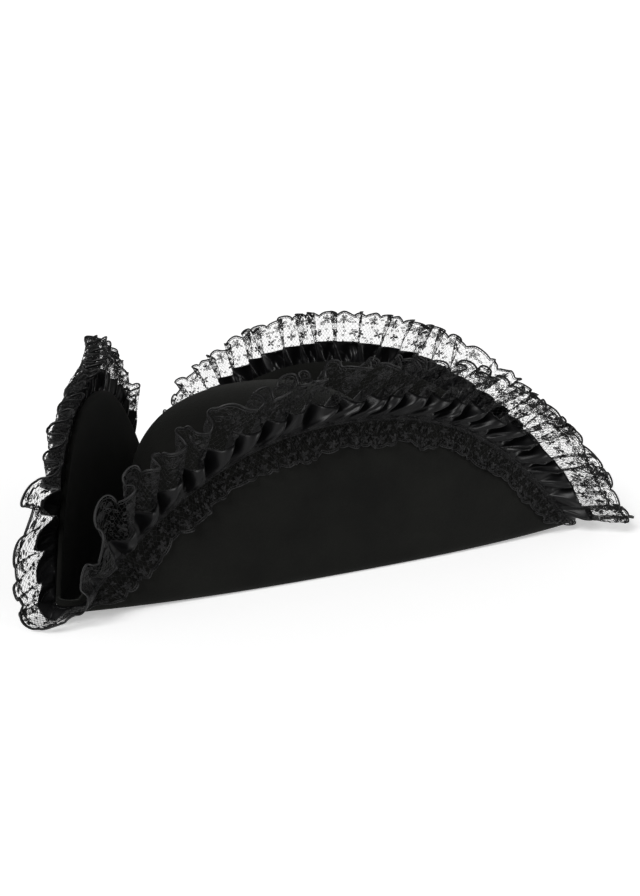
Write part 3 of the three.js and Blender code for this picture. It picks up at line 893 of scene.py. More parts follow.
def draw_net(threads, length, edge, width, look):
    """A six-sided net: zigzag rows, linked where a row's top meets the next row's bottom."""
    cell = length / round(length / look.cell)
    row_pitch = cell * NET_ROW
    zig = cell * NET_ZIG
    steps = np.arange(2 * round(length / cell) + 1)
    along = steps * cell / 2
    limit = edge(along) - row_pitch * NET_STOP
    rows = int(width / row_pitch)
    for row in range(rows + 1):
        high = (steps + row) % 2 == 1
        across = row_pitch * row + np.where(high, zig, -zig)
        inside = (across < limit) & (across > 0)
        cuts = np.flatnonzero(np.diff(np.concatenate([[0], inside.astype(int), [0]])))
        for first, last in zip(cuts[::2], cuts[1::2]):
            if last - first > 1:
                threads.line(along[first:last], across[first:last], look.net_radius)
        top = across + row_pitch - 2 * zig
        linked = high & inside & (top < limit)
        threads.pairs(
            np.stack([along[linked], across[linked]], -1),
            np.stack([along[linked], top[linked]], -1),
            look.net_radius,
        )


def draw_petal(threads, root, angle, length, width, look, rib):
    """A closed petal or leaf from its root, with or without a rib up its middle."""
    turned = round_steps(PETAL_STEPS)
    broad, to_root = PETAL_SHAPE
    out = length * (1 - np.cos(turned)) / 2
    aside = width * np.sin(turned) * (broad - to_root * np.cos(turned))
    way = np.array([math.cos(angle), math.sin(angle)])
    cross = np.array([-way[1], way[0]])
    loop = root + np.outer(out, way) + np.outer(aside, cross)
    threads.line(loop[:, 0], loop[:, 1], look.motif_radius, closed=True)
    if rib:
        stem = root + np.outer(np.multiply(RIB_PLACES, length), way)
        threads.line(stem[:, 0], stem[:, 1], look.motif_radius)


def draw_spray(threads, centre, angles, shape, look, rib=True):
    """Petals or leaves round a centre, of a shape in flower radii."""
    start, length, width = (look.flower * size for size in shape)
    for angle in angles:
        root = centre + np.array([math.cos(angle), math.sin(angle)]) * start
        draw_petal(threads, root, angle, length, width, look, rib)


def draw_motif(threads, start, pitch, width, look, generator):
    """One scallop's flower with its eye and two leaves, a lower flower, and small rings round them."""
    size = look.flower
    centre = np.array([start + pitch / 2, width - size * FLOWER_SETBACK])
    draw_spray(threads, centre, generator.uniform(0, math.pi) + round_steps(PETALS), PETAL, look)
    turned = round_steps(EYE_STEPS)
    eye = centre + size * EYE * np.stack([np.cos(turned), np.sin(turned)], -1)
    threads.line(eye[:, 0], eye[:, 1], look.motif_radius, closed=True)
    second = np.array([start + pitch * LOW_FLOWER_AT[0], width * LOW_FLOWER_AT[1]])
    draw_spray(threads, second, generator.uniform(0, math.pi) + round_steps(LOW_PETALS), LOW_PETAL, look)
    draw_spray(threads, centre, LEAF_ANGLES, LEAF, look, rib=False)
    taken = [(*centre, size * FLOWER_ROOM), (*second, size * LOW_FLOWER_ROOM)]
    draw_rosettes(threads, start, pitch, width, taken, look, generator)


def draw_rosettes(threads, start, pitch, width, taken, look, generator):
    """Small rings strewn over the net, clear of the flowers and of each other."""
    placed = list(taken)
    for _ in range(look.rosettes):
        size = look.rosette * generator.uniform(*ROSETTE_SIZES)
        along = start + generator.uniform(0, pitch)
        highest = width - size * ROSETTE_EDGE_GAP - look.border
        across = generator.uniform(size * ROSETTE_HEM_GAP, highest)
        if min(math.hypot(along - x, across - y) - reach for x, y, reach in placed) < size:
            continue
        placed.append((along, across, size))
        turned = round_steps(ROSETTE_STEPS) + generator.uniform(0, 1)
        squash = generator.uniform(*ROSETTE_SQUASH)
        ring_along = along + size * np.cos(turned)
        ring_across = across + size * squash * np.sin(turned)
        threads.line(ring_along, ring_across, look.motif_radius, closed=True)


def draw_edges(threads, length, edge, look):
    """A thick cord round the scallops with a thin one inside it and bars between, and a corded hem."""
    along = even_steps(length, CORD_STEP)
    threads.line(along, edge(along), look.cord_radius)
    threads.line(along, edge(along) - look.border, look.motif_radius)
    bars = even_steps(length, BAR_PITCH)
    threads.pairs(
        np.stack([bars, edge(bars)], -1),
        np.stack([bars, edge(bars) - look.border], -1),
        look.motif_radius * BAR_THINNESS,
    )
    hem = even_steps(length, HEM_STEP)
    zigzag = np.where(np.arange(len(hem)) % 2, HEM_ZIG, -HEM_ZIG)
    threads.line(hem, HEM_AT + zigzag, look.motif_radius)


def draw_lace(length, width, look, seed):
    """One strip of lace of a flat length and width, as points, radii and edges."""
    threads = Threads()
    generator = np.random.default_rng(seed)
    scallops = round(length / look.scallop)
    pitch = length / scallops

    def edge(along):
        return scalloped_edge(along, width, pitch, look.scallop_depth, seed)

    draw_net(threads, length, edge, width, look)
    for number in range(scallops):
        draw_motif(threads, number * pitch, pitch, width, look, generator)
    draw_edges(threads, length, edge, look)
    return threads.arrays()


# Geometry Nodes


def node_tree(name, inputs):
    """A new Geometry Nodes tree with a geometry input and output and the named inputs given."""
    tree = bpy.data.node_groups.new(name, "GeometryNodeTree")
    face = tree.interface
    face.new_socket("Geometry", in_out="INPUT", socket_type="NodeSocketGeometry")
    for label, kind, default in inputs:
        made = face.new_socket(label, in_out="INPUT", socket_type=kind)
        if default is not None:
            made.default_value = default
    face.new_socket("Geometry", in_out="OUTPUT", socket_type="NodeSocketGeometry")
    start = tree.nodes.new("NodeGroupInput")
    end = tree.nodes.new("NodeGroupOutput")
    return tree, start, end


def finish_tree(tree, start, end, geometry):
    """Every tree ends in Set Material and Realize Instances."""
    paint = tree.nodes.new("GeometryNodeSetMaterial")
    real = tree.nodes.new("GeometryNodeRealizeInstances")
    tree.links.new(geometry, paint.inputs["Geometry"])
    tree.links.new(start.outputs["Material"], paint.inputs["Material"])
    tree.links.new(paint.outputs["Geometry"], real.inputs["Geometry"])
    tree.links.new(real.outputs["Geometry"], end.inputs["Geometry"])


def thread_tree():
    """Turns edges into round threads. Each point's thread_radius is its thread's radius."""
    tree, start, end = node_tree(
        "Threads",
        [
            ("Thickness", "NodeSocketFloat", 1.0),
            ("Sides", "NodeSocketInt", 3),
            ("Material", "NodeSocketMaterial", None),
        ],
    )
    curve = tree.nodes.new("GeometryNodeMeshToCurve")
    radius = tree.nodes.new("GeometryNodeInputNamedAttribute")
    radius.data_type = "FLOAT"
    radius.inputs["Name"].default_value = "thread_radius"
    scaled = tree.nodes.new("ShaderNodeMath")
    scaled.operation = "MULTIPLY"
    ring = tree.nodes.new("GeometryNodeCurvePrimitiveCircle")
    ring.inputs["Radius"].default_value = 1.0
    tube = tree.nodes.new("GeometryNodeCurveToMesh")
    tube.inputs["Fill Caps"].default_value = True
    tree.links.new(start.outputs["Geometry"], curve.inputs["Mesh"])
    tree.links.new(radius.outputs["Attribute"], scaled.inputs[0])
    tree.links.new(start.outputs["Thickness"], scaled.inputs[1])
    tree.links.new(start.outputs["Sides"], ring.inputs["Resolution"])
    tree.links.new(curve.outputs["Curve"], tube.inputs["Curve"])
    tree.links.new(ring.outputs["Curve"], tube.inputs["Profile Curve"])
    tree.links.new(scaled.outputs["Value"], tube.inputs["Scale"])
    finish_tree(tree, start, end, tube.outputs["Mesh"])
    return tree


def stitch_tree():
    """Lays a short stitch along the line at even steps."""
    tree, start, end = node_tree(
        "Stitches",
        [
            ("Spacing", "NodeSocketFloat", 0.004),
            ("Length", "NodeSocketFloat", 0.0022),
            ("Radius", "NodeSocketFloat", 0.0003),
            ("Material", "NodeSocketMaterial", None),
        ],
    )
    curve = tree.nodes.new("GeometryNodeMeshToCurve")
    points = tree.nodes.new("GeometryNodeCurveToPoints")
    points.mode = "LENGTH"
    stitch = tree.nodes.new("GeometryNodeMeshCylinder")
    stitch.inputs["Vertices"].default_value = STITCH_SIDES
    place = tree.nodes.new("GeometryNodeInstanceOnPoints")
    tree.links.new(start.outputs["Geometry"], curve.inputs["Mesh"])
    tree.links.new(curve.outputs["Curve"], points.inputs["Curve"])
    tree.links.new(start.outputs["Spacing"], points.inputs["Length"])
    tree.links.new(start.outputs["Radius"], stitch.inputs["Radius"])
    tree.links.new(start.outputs["Length"], stitch.inputs["Depth"])
    tree.links.new(points.outputs["Points"], place.inputs["Points"])
    tree.links.new(points.outputs["Rotation"], place.inputs["Rotation"])
    tree.links.new(stitch.outputs["Mesh"], place.inputs["Instance"])
    finish_tree(tree, start, end, place.outputs["Instances"])
    return tree


def lines_object(name, points, edges, radii=None):
    """A mesh of bare edges, to feed a tree."""
    mesh = bpy.data.meshes.new(name)
    mesh.vertices.add(len(points))
    mesh.vertices.foreach_set("co", to_frame(points).astype(np.float32).ravel())
    mesh.edges.add(len(edges))
    mesh.edges.foreach_set("vertices", np.asarray(edges, np.int32).ravel())
    if radii is not None:
        attribute = mesh.attributes.new("thread_radius", "FLOAT", "POINT")
        attribute.data.foreach_set("value", (np.asarray(radii) * MM).astype(np.float32))
    mesh.update()
    return add_object(name, mesh)


def grown(name, lines, tree, values, material):
    """The plain mesh that a tree makes of an object of lines."""
    modifier = lines.modifiers.new("Grow", "NODES")
    modifier.node_group = tree
    sockets = {item.name: item.identifier for item in tree.interface.items_tree if item.in_out == "INPUT"}
    for label, value in values.items():
        modifier[sockets[label]] = value
    modifier[sockets["Material"]] = material
    bpy.context.view_layer.update()
    evaluated = lines.evaluated_get(bpy.context.evaluated_depsgraph_get())
    mesh = bpy.data.meshes.new_from_object(evaluated)
    mesh.name = name
    bpy.data.objects.remove(lines)
    if not mesh.polygons:
        raise RuntimeError(f"{name}: the tree made no faces")
    return add_object(name, mesh)


# Materials


def new_material(name):
    material = bpy.data.materials.new(name)
    material.use_nodes = True
    nodes = material.node_tree.nodes
    return material, nodes, material.node_tree.links, nodes["Principled BSDF"]


def add_node(nodes, kind, **values):
    """A node with its sockets set. Names are the sockets' own, with _ for a space."""
    node = nodes.new(kind)
    for key, value in values.items():
        node.inputs[key.replace("_", " ")].default_value = value
    return node


def tone(nodes, links, factor, color, darkest, lightest):
    """A colour made darker and lighter by a grey pattern, between two shares of itself."""
    blend = nodes.new("ShaderNodeMix")
    blend.data_type = "RGBA"
    blend.inputs["A"].default_value = (*(channel * darkest for channel in color), 1)
    blend.inputs["B"].default_value = (*(channel * lightest for channel in color), 1)
    links.new(factor, blend.inputs["Factor"])
    return blend.outputs["Result"]


def felt_material(look):
    material, nodes, links, shader = new_material("black_felt")
    place = nodes.new("ShaderNodeTexCoord").outputs["Object"]
    cloud = add_node(nodes, "ShaderNodeTexNoise", Scale=26.0, Detail=4.0, Roughness=0.55)
    nap = add_node(nodes, "ShaderNodeTexNoise", Scale=1500.0, Detail=5.0, Roughness=0.7)
    pill = add_node(nodes, "ShaderNodeTexNoise", Scale=420.0, Detail=3.0, Roughness=0.6)
    for texture in (cloud, nap, pill):
        links.new(place, texture.inputs["Vector"])
    patchy = nodes.new("ShaderNodeMapRange")
    patchy.inputs["From Min"].default_value = 0.35
    patchy.inputs["From Max"].default_value = 0.68
    links.new(cloud.outputs["Fac"], patchy.inputs["Value"])
    speckle = add_node(nodes, "ShaderNodeMath")
    speckle.operation = "MULTIPLY"
    links.new(patchy.outputs["Result"], speckle.inputs[0])
    links.new(nap.outputs["Fac"], speckle.inputs[1])
    toned = tone(nodes, links, speckle.outputs["Value"], look.felt_color, darkest=0.55, lightest=1.9)
    links.new(toned, shader.inputs["Base Color"])
    fine = add_node(nodes, "ShaderNodeBump", Strength=0.55, Distance=0.0003)
    coarse = add_node(nodes, "ShaderNodeBump", Strength=0.35, Distance=0.0006)
    links.new(nap.outputs["Fac"], fine.inputs["Height"])
    links.new(pill.outputs["Fac"], coarse.inputs["Height"])
    links.new(fine.outputs["Normal"], coarse.inputs["Normal"])
    links.new(coarse.outputs["Normal"], shader.inputs["Normal"])
    shader.inputs["Roughness"].default_value = 0.95
    shader.inputs["Specular IOR Level"].default_value = 0.12
    shader.inputs["Sheen Weight"].default_value = look.felt_sheen
    shader.inputs["Sheen Roughness"].default_value = 0.45
    shader.inputs["Sheen Tint"].default_value = (0.9, 0.92, 0.85, 1)
    return material


WEAVE_SCALE = 227.272727  # gives the satin a fine rib every 1.4 mm
SLUB_GLOSS = (-0.05, 0.07)  # how much glossier and duller the satin is in places, in roughness


def satin_material(look):
    material, nodes, links, shader = new_material("black_satin")
    place = nodes.new("ShaderNodeUVMap")
    place.uv_map = "cut"
    stretch = nodes.new("ShaderNodeMapping")
    stretch.inputs["Scale"].default_value = (60.0, 2200.0, 1.0)
    links.new(place.outputs["UV"], stretch.inputs["Vector"])
    slub = add_node(nodes, "ShaderNodeTexNoise", Scale=1.0, Detail=3.0, Roughness=0.6)
    links.new(stretch.outputs["Vector"], slub.inputs["Vector"])
    weave = add_node(nodes, "ShaderNodeTexWave", Scale=WEAVE_SCALE, Distortion=0.3)
    weave.bands_direction = "Y"
    links.new(place.outputs["UV"], weave.inputs["Vector"])
    toned = tone(nodes, links, slub.outputs["Fac"], look.satin_color, darkest=0.8, lightest=1.3)
    links.new(toned, shader.inputs["Base Color"])
    gloss = nodes.new("ShaderNodeMapRange")
    gloss.inputs["To Min"].default_value = look.satin_roughness + SLUB_GLOSS[0]
    gloss.inputs["To Max"].default_value = look.satin_roughness + SLUB_GLOSS[1]
    links.new(slub.outputs["Fac"], gloss.inputs["Value"])
    links.new(gloss.outputs["Result"], shader.inputs["Roughness"])
    threads = add_node(nodes, "ShaderNodeBump", Strength=0.12, Distance=0.00003)
    streaks = add_node(nodes, "ShaderNodeBump", Strength=0.12, Distance=0.00008)
    links.new(weave.outputs["Fac"], threads.inputs["Height"])
    links.new(slub.outputs["Fac"], streaks.inputs["Height"])
    links.new(threads.outputs["Normal"], streaks.inputs["Normal"])
    links.new(streaks.outputs["Normal"], shader.inputs["Normal"])
    across = nodes.new("ShaderNodeTangent")
    across.direction_type = "UV_MAP"
    across.uv_map = "cut"
    links.new(across.outputs["Tangent"], shader.inputs["Tangent"])
    shader.inputs["Anisotropic"].default_value = 0.5
    shader.inputs["Anisotropic Rotation"].default_value = 0.25
    shader.inputs["Specular IOR Level"].default_value = look.satin_gloss
    return material


def lace_material(look):
    material, nodes, links, shader = new_material("black_lace")
    place = nodes.new("ShaderNodeTexCoord").outputs["Object"]
    fibre = add_node(nodes, "ShaderNodeTexNoise", Scale=2500.0, Detail=2.0)
    links.new(place, fibre.inputs["Vector"])
    toned = tone(nodes, links, fibre.outputs["Fac"], look.lace_color, darkest=0.7, lightest=1.4)
    links.new(toned, shader.inputs["Base Color"])
    twist = add_node(nodes, "ShaderNodeBump", Strength=0.3, Distance=0.00006)
    links.new(fibre.outputs["Fac"], twist.inputs["Height"])
    links.new(twist.outputs["Normal"], shader.inputs["Normal"])
    shader.inputs["Roughness"].default_value = look.lace_roughness
    shader.inputs["Specular IOR Level"].default_value = 0.29
    return material


# Settings that a user would change


class HatFinish(bpy.types.PropertyGroup):
    """Colours and gloss of the three cloths."""

    felt_color: FloatVectorProperty(
        name="Felt",
        description="Colour of the felt",
        subtype="COLOR",
        default=(0.0028, 0.0029, 0.0024),
        min=0,
        max=1,
    )
    felt_sheen: FloatProperty(
        name="Felt nap", description="Light caught by the felt's nap", default=0.022, min=0, max=1
    )
    satin_color: FloatVectorProperty(
        name="Satin",
        description="Colour of the ribbon",
        subtype="COLOR",
        default=(0.0023, 0.0023, 0.0025),
        min=0,
        max=1,
    )
    satin_roughness: FloatProperty(
        name="Satin roughness", description="Softness of the ribbon's gloss", default=0.35, min=0, max=1
    )
    satin_gloss: FloatProperty(
        name="Satin gloss", description="Strength of the ribbon's gloss", default=0.16, min=0, max=1
    )
    lace_color: FloatVectorProperty(
        name="Lace",
        description="Colour of the lace thread",
        subtype="COLOR",
        default=(0.0017, 0.0017, 0.0019),
        min=0,
        max=1,
    )
    lace_roughness: FloatProperty(
        name="Lace roughness", description="Dullness of the thread", default=0.45, min=0, max=1
    )


class HatFelt(bpy.types.PropertyGroup):
    """The felt body."""

    dents: FloatProperty(
        name="Dents", description="Depth of the felt's soft dents, in mm", default=1.1, min=0, max=3
    )


class HatSatin(bpy.types.PropertyGroup):
    """The gathered ribbon."""

    wall: FloatProperty(
        name="Thickness", description="Thickness of the ribbon, in mm", default=0.3, min=0.1, max=1
    )
    gather: FloatProperty(
        name="Gathers", description="Half depth of the pleats at the seam, in mm", default=0.6, min=0.2
    )
    puff: FloatProperty(
        name="Puff", description="How far each pleat puffs out, in mm", default=2.9, min=0, max=4
    )
    crease: FloatProperty(
        name="Folds", description="Strength of the folds out of the gathers", default=1.5, min=0, max=2
    )
    columns: IntProperty(
        name="Columns", description="Columns of the mesh in each pleat", default=36, min=8, max=80
    )
    rows: IntProperty(
        name="Rows", description="Rows of the mesh over the ribbon's width", default=12, min=4, max=40
    )


class LaceBase:
    """What both laces are drawn from."""

    net_radius: FloatProperty(
        name="Net thread", description="Radius of the net's thread, in mm", default=0.12, min=0.03, max=1
    )
    motif_radius: FloatProperty(
        name="Flower thread",
        description="Radius of the flowers' thread, in mm",
        default=0.28,
        min=0.03,
        max=1,
    )
    border: FloatProperty(
        name="Border", description="Width of the edge's border, in mm", default=1.3, min=0.5, max=4
    )
    rosette: FloatProperty(
        name="Rosette", description="Radius of the small rings, in mm", default=0.8, min=0.3, max=3
    )


class HatOuterLace(bpy.types.PropertyGroup, LaceBase):
    """The wide lace beyond the ribbon."""

    cell: FloatProperty(
        name="Net cell", description="Width of the net's cells, in mm", default=2.24, min=1, max=6
    )
    rosettes: IntProperty(
        name="Rosettes", description="Most small rings to a scallop", default=16, min=0, max=90
    )
    cord_radius: FloatProperty(
        name="Cord", description="Radius of the edge cord, in mm", default=0.7, min=0.1, max=1
    )
    scallop: FloatProperty(
        name="Scallop", description="Length of a scallop, in mm", default=13, min=5, max=40
    )
    scallop_depth: FloatProperty(
        name="Scallop depth", description="Depth of a scallop, in mm", default=3.4, min=0, max=6
    )
    flower: FloatProperty(name="Flower", description="Radius of a flower, in mm", default=3.3, min=1, max=9)


class HatInnerLace(bpy.types.PropertyGroup, LaceBase):
    """The narrow lace over the felt."""

    cell: FloatProperty(
        name="Net cell", description="Width of the net's cells, in mm", default=3.0, min=1, max=6
    )
    rosettes: IntProperty(
        name="Rosettes", description="Most small rings to a scallop", default=7, min=0, max=90
    )
    cord_radius: FloatProperty(
        name="Cord", description="Radius of the edge cord, in mm", default=0.42, min=0.1, max=1
    )
    scallop: FloatProperty(
        name="Scallop", description="Length of a scallop, in mm", default=10, min=5, max=40
    )
    scallop_depth: FloatProperty(
        name="Scallop depth", description="Depth of a scallop, in mm", default=1.7, min=0, max=6
    )
    flower: FloatProperty(name="Flower", description="Radius of a flower, in mm", default=2.6, min=1, max=9)
    lace_rest: FloatProperty(
        name="Rest", description="Height of the lace off the felt, in mm", default=0.5, min=0.2, max=3
    )
    gather: FloatProperty(
        name="Gathers", description="Half depth of the ribbon's gathers under it, in mm", default=0.6
    )
    rumple: FloatProperty(
        name="Rumple", description="Depth of its small wrinkles, in mm", default=1.3, min=0, max=3
    )
    sag: FloatProperty(
        name="Sag",
        description="How far its free edge wanders up and down, in mm",
        default=2.6,
        min=0,
        max=5,
    )


class HatStage(bpy.types.PropertyGroup):
    """Floor and light."""

    floor_color: FloatVectorProperty(
        name="Floor",
        description="Colour of the floor",
        subtype="COLOR",
        default=(0.93, 0.93, 0.93),
        min=0,
        max=1,
    )
    floor_glow: FloatProperty(
        name="Floor glow", description="Light that the floor gives off", default=0.36, min=0
    )
    backdrop: FloatProperty(name="Backdrop", description="Brightness of the backdrop", default=1.15, min=0)
    surround: FloatProperty(
        name="Surround", description="Strength of the light from low all round", default=0.5, min=0
    )
    behind: FloatProperty(
        name="Behind", description="Strength of the light from low behind the hat", default=0.6, min=0
    )
    overhead: FloatProperty(
        name="Overhead", description="Strength of the light from straight above", default=0.1, min=0
    )
    key: FloatProperty(name="Key light", description="Strength of the main light", default=3.08, min=0)
    fill: FloatProperty(name="Fill light", description="Strength of the second light", default=1.6, min=0)
    top: FloatProperty(
        name="Top light", description="Strength of the light from above", default=0.05, min=0
    )


# Operators


def shared_material(name, make, look):
    return bpy.data.materials.get(name) or make(look)


def settle(piece, node):
    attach(piece, "root")
    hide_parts(node)


class HAT_OT_felt_body(bpy.types.Operator):
    """Presses the felt body: crown, brim and turned-up flaps in one wall"""

    bl_idname = "hat.felt_body"
    bl_label = "Felt Body"

    def execute(self, context):
        grid, places = felt_grid()
        pole = UP * CROWN_HEIGHT
        dents = felt_dents(grid, places, context.scene.hat_felt.dents)
        grid = grid + grid_normals(grid, True, pole) * tall(dents)
        points, faces = sheet_solid(grid, FELT_WALL, closed=True, pole=pole)
        felt = cloth_object("felt", points, faces, felt_material(context.scene.hat_finish))
        settle(felt, "felt_body")
        return {"FINISHED"}


def map_cut(mesh, places):
    """Maps both faces of a ribbon to their places on the cloth as it was cut, in metres."""
    corners = np.zeros(len(mesh.loops), np.int32)
    mesh.loops.foreach_get("vertex_index", corners)
    both = np.concatenate([places, places]) * MM
    layer = mesh.uv_layers.new(name="cut")
    layer.data.foreach_set("uv", both[corners].astype(np.float32).ravel())


class HAT_OT_satin_ruffles(bpy.types.Operator):
    """Gathers the satin ribbon along each side's edge"""

    bl_idname = "hat.satin_ruffles"
    bl_label = "Satin Ruffles"

    def execute(self, context):
        look = context.scene.hat_satin
        material = satin_material(context.scene.hat_finish)
        for trim in TRIMS:
            cloth = np.linspace(0, trim.pleats, trim.pleats * look.columns + 1)
            distance = np.concatenate([[-HEADER, -HEADER / 2], np.linspace(0, SATIN_WIDTH, look.rows + 1)])
            cloth_grid, distance_grid = np.meshgrid(cloth, distance, indexing="ij")
            strayed = wander(cloth_grid * EDGE_STRAY_RATE, trim.side.seed + 7) - EDGE_STRAY_MIDDLE
            uneven = 1 + EDGE_STRAY * strayed
            flat = trim.frill(cloth_grid.ravel(), (distance_grid * uneven).ravel(), look, True)
            points, faces = sheet_solid(flat.reshape(*cloth_grid.shape, 3), look.wall)
            ribbon = cloth_object(f"satin_{trim.side.name}", points, faces, material)
            cut = np.stack([cloth_grid * SATIN_CUT, distance_grid + HEADER], -1)
            map_cut(ribbon.data, cut.reshape(-1, 2))
            settle(ribbon, f"satin_ruffle_{trim.side.name}")
        return {"FINISHED"}


def hang_lace(context, name, trim, surface, cut, width, lap, look, tree):
    """One strip of lace, drawn flat, laid on its pleated surface and turned into threads. The lap is the
    part of it that lies over the ribbon."""
    length = trim.pleats * cut
    drawn, radii, edges = draw_lace(length, width + lap, look, trim.side.seed)
    lines = lines_object(f"{name}_lines", surface(drawn[:, 0] / cut, drawn[:, 1]), edges, radii)
    material = shared_material("black_lace", lace_material, context.scene.hat_finish)
    lace = grown(f"{name}_net", lines, tree, {"Thickness": 1.0, "Sides": 3}, material)
    settle(lace, name)


class HAT_OT_outer_lace(bpy.types.Operator):
    """Knots the wide lace and gathers it along the ribbon's outer edge"""

    bl_idname = "hat.outer_lace"
    bl_label = "Outer Lace"

    def execute(self, context):
        satin = context.scene.hat_satin
        look = context.scene.hat_outer_lace
        tree = thread_tree()
        for trim in TRIMS:

            def surface(cloth, across, trim=trim):
                return trim.frill(cloth, SATIN_WIDTH - LACE_LAP + across, satin, False)

            name = f"outer_lace_{trim.side.name}"
            hang_lace(context, name, trim, surface, OUTER_LACE_CUT, OUTER_LACE_WIDTH, LACE_LAP, look, tree)
        return {"FINISHED"}


class HAT_OT_inner_lace(bpy.types.Operator):
    """Lays the narrow lace from the seam down over the felt"""

    bl_idname = "hat.inner_lace"
    bl_label = "Inner Lace"

    def execute(self, context):
        look = context.scene.hat_inner_lace
        tree = thread_tree()
        for trim in TRIMS:

            def surface(cloth, across, trim=trim):
                return trim.inlet(cloth, across, look)

            name = f"inner_lace_{trim.side.name}"
            hang_lace(context, name, trim, surface, INNER_LACE_CUT, INNER_LACE_WIDTH, 0, look, tree)
        return {"FINISHED"}


class HAT_OT_stitches(bpy.types.Operator):
    """Sews the gathered seam down with a row of stitches"""

    bl_idname = "hat.stitches"
    bl_label = "Seam Stitches"

    def execute(self, context):
        lines = []
        edges = []
        count = 0
        for trim in TRIMS:
            last = trim.pleats - STITCH_END_GAP
            cloth = np.linspace(STITCH_END_GAP, last, trim.pleats * STITCH_LINE_STEPS)
            distance = np.full(cloth.shape, SEAM_STITCH_AT)
            line = trim.frill(cloth, distance, context.scene.hat_satin, True)
            found = trim.frames(trim.phase(cloth) * trim.pitch)
            lines.append(line + found["face"] * STITCH_LIFT)
            index = count + np.arange(len(line))
            edges.append(np.stack([index[:-1], index[1:]], -1))
            count += len(line)
        row = lines_object("seam_line", np.concatenate(lines), np.concatenate(edges))
        material = shared_material("black_lace", lace_material, context.scene.hat_finish)
        stitches = grown("seam_stitches", row, stitch_tree(), STITCH, material)
        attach(stitches, "root")
        return {"FINISHED"}


# Camera, as the photograph was taken
VIEW_AZIMUTH = 29.474
VIEW_ELEVATION = 10.541
VIEW_ROLL = 0.6
VIEW_DISTANCE = 740
VIEW_AIM_HEIGHT = 60
VIEW_SHIFT_RIGHT = 37.63
VIEW_SHIFT_UP = -0.83
FOCAL_PIXELS = 1101.4
PICTURE_HEIGHT = 896
SENSOR = 36.0

# Lights a long way off, each as strong as the setting of its name says. Azimuths are counted as the
# camera's is, and widths are as seen from the hat, all in degrees.
LIGHTS = {
    "key": {"azimuth": 4, "elevation": 30, "width": 26},
    "fill": {"azimuth": 82, "elevation": 4, "width": 16},
    "top": {"azimuth": 4, "elevation": 80, "width": 40},
}
BEHIND_FADE = (0.3, 0.85)  # cosines between which the room changes to the part behind the hat
OVERHEAD_FADE = (0.25, 0.75)  # heights between which it darkens upwards, from 0 at the level to 1 above
FLOOR_REACH = 12.0


def way_to(azimuth, elevation):
    """The direction to a place in the room, from degrees."""
    around, above = math.radians(azimuth), math.radians(elevation)
    level = math.cos(above)
    return Vector((math.sin(around) * level, -math.cos(around) * level, math.sin(above)))


def point_camera():
    azimuth, roll = math.radians(VIEW_AZIMUTH), math.radians(VIEW_ROLL)
    back = way_to(VIEW_AZIMUTH, VIEW_ELEVATION)
    right = Vector((math.cos(azimuth), math.sin(azimuth), 0))
    up = back.cross(right)
    aim = Vector(to_frame([0, 0, VIEW_AIM_HEIGHT]))
    place = aim + (back * VIEW_DISTANCE + right * VIEW_SHIFT_RIGHT + up * VIEW_SHIFT_UP) * MM
    across = right * math.cos(roll) - up * math.sin(roll)
    upright = right * math.sin(roll) + up * math.cos(roll)
    data = bpy.data.cameras.new("camera")
    data.sensor_width = SENSOR
    data.lens = FOCAL_PIXELS * SENSOR / PICTURE_HEIGHT
    data.clip_start = 0.01
    data.clip_end = 100
    camera = bpy.data.objects.new("camera", data)
    turned = Matrix((across, upright, back)).transposed().to_4x4()
    camera.matrix_world = Matrix.Translation(place) @ turned
    bpy.context.scene.collection.objects.link(camera)
    bpy.context.scene.camera = camera


def far_light(name, azimuth, elevation, width, strength):
    """A soft light a long way off."""
    data = bpy.data.lights.new(name, "SUN")
    data.energy = strength
    data.angle = math.radians(width)
    light = bpy.data.objects.new(name, data)
    light.matrix_world = way_to(azimuth, elevation).to_track_quat("Z", "Y").to_matrix().to_4x4()
    bpy.context.scene.collection.objects.link(light)


def fade(nodes, links, value, span, most):
    """Goes smoothly to a brightness as a value crosses a span. Its To Min is left to be set."""
    made = nodes.new("ShaderNodeMapRange")
    made.interpolation_type = "SMOOTHSTEP"
    made.inputs["From Min"].default_value, made.inputs["From Max"].default_value = span
    made.inputs["To Max"].default_value = most
    links.new(value, made.inputs["Value"])
    return made


def studio_world(look):
    """A dim room that lights the hat, paler behind it and darker overhead, while it is seen white."""
    world = bpy.data.worlds.new("studio")
    world.use_nodes = True
    nodes = world.node_tree.nodes
    links = world.node_tree.links
    direction = nodes.new("ShaderNodeTexCoord").outputs["Generated"]
    split = nodes.new("ShaderNodeSeparateXYZ")
    links.new(direction, split.inputs["Vector"])
    behind = nodes.new("ShaderNodeVectorMath")
    behind.operation = "DOT_PRODUCT"
    azimuth = math.radians(VIEW_AZIMUTH)
    behind.inputs[1].default_value = (-math.sin(azimuth), math.cos(azimuth), 0)
    links.new(direction, behind.inputs[0])
    around = fade(nodes, links, behind.outputs["Value"], BEHIND_FADE, look.behind)
    around.inputs["To Min"].default_value = look.surround
    height = fade(nodes, links, split.outputs["Z"], OVERHEAD_FADE, look.overhead)
    links.new(around.outputs["Result"], height.inputs["To Min"])
    seen = nodes.new("ShaderNodeMix")
    seen.data_type = "FLOAT"
    links.new(nodes.new("ShaderNodeLightPath").outputs["Is Camera Ray"], seen.inputs["Factor"])
    links.new(height.outputs["Result"], seen.inputs["A"])
    seen.inputs["B"].default_value = look.backdrop
    background = nodes["Background"]
    background.inputs["Color"].default_value = (1, 1, 1, 1)
    links.new(seen.outputs["Result"], background.inputs["Strength"])
    return world


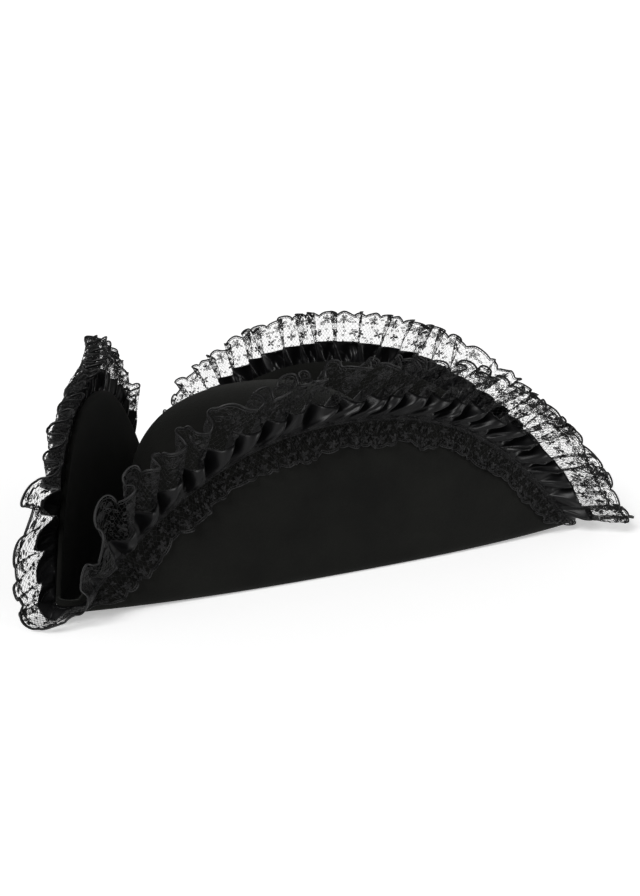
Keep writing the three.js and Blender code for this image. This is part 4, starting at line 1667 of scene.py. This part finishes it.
class HAT_OT_stage(bpy.types.Operator):
    """Sets the floor, the light and the camera"""

    bl_idname = "hat.stage"
    bl_label = "Stage"

    def execute(self, context):
        look = context.scene.hat_stage
        corners = [(-1, -1), (1, -1), (1, 1), (-1, 1)]
        mesh = bpy.data.meshes.new("floor")
        mesh.from_pydata([(x * FLOOR_REACH, y * FLOOR_REACH, 0) for x, y in corners], [], [(0, 1, 2, 3)])
        floor = add_object("floor", mesh)
        material, _, _, shader = new_material("pale_floor")
        shader.inputs["Base Color"].default_value = (*look.floor_color, 1)
        shader.inputs["Roughness"].default_value = 0.9
        shader.inputs["Emission Color"].default_value = (1, 1, 1, 1)
        shader.inputs["Emission Strength"].default_value = look.floor_glow
        mesh.materials.append(material)
        context.scene.world = studio_world(look)
        for name, place in LIGHTS.items():
            far_light(name, strength=getattr(look, name), **place)
        context.scene.view_settings.view_transform = "Standard"
        point_camera()
        return {"FINISHED"}


class HAT_PT_panel(bpy.types.Panel):
    """Lists the hat's operators and their settings"""

    bl_idname = "HAT_PT_panel"
    bl_label = "Tricorn Hat"
    bl_space_type = "VIEW_3D"
    bl_region_type = "UI"
    bl_category = "Tricorn"

    def draw(self, context):
        for operator, settings in STEPS:
            box = self.layout.box()
            box.operator(operator.bl_idname)
            if settings:
                group = getattr(context.scene, settings)
                for name in group.bl_rna.properties.keys():
                    if name not in ("rna_type", "name"):
                        box.prop(group, name)


# Each operator in the order that it runs, with the settings that it reads
STEPS = [
    (HAT_OT_felt_body, "hat_felt"),
    (HAT_OT_satin_ruffles, "hat_satin"),
    (HAT_OT_outer_lace, "hat_outer_lace"),
    (HAT_OT_inner_lace, "hat_inner_lace"),
    (HAT_OT_stitches, "hat_finish"),
    (HAT_OT_stage, "hat_stage"),
]

GROUPS = {
    "hat_finish": HatFinish,
    "hat_felt": HatFelt,
    "hat_satin": HatSatin,
    "hat_outer_lace": HatOuterLace,
    "hat_inner_lace": HatInnerLace,
    "hat_stage": HatStage,
}


def register():
    for group in GROUPS.values():
        bpy.utils.register_class(group)
    for operator, _ in STEPS:
        bpy.utils.register_class(operator)
    bpy.utils.register_class(HAT_PT_panel)
    for name, group in GROUPS.items():
        setattr(bpy.types.Scene, name, PointerProperty(type=group))


def unregister():
    for name in GROUPS:
        delattr(bpy.types.Scene, name)
    bpy.utils.unregister_class(HAT_PT_panel)
    for operator, _ in reversed(STEPS):
        bpy.utils.unregister_class(operator)
    for group in reversed(GROUPS.values()):
        bpy.utils.unregister_class(group)


def main():
    register()
    bpy.ops.hat.felt_body()
    bpy.ops.hat.satin_ruffles()
    bpy.ops.hat.outer_lace()
    bpy.ops.hat.inner_lace()
    bpy.ops.hat.stitches()
    bpy.ops.hat.stage()


if __name__ == "__main__":
    main()
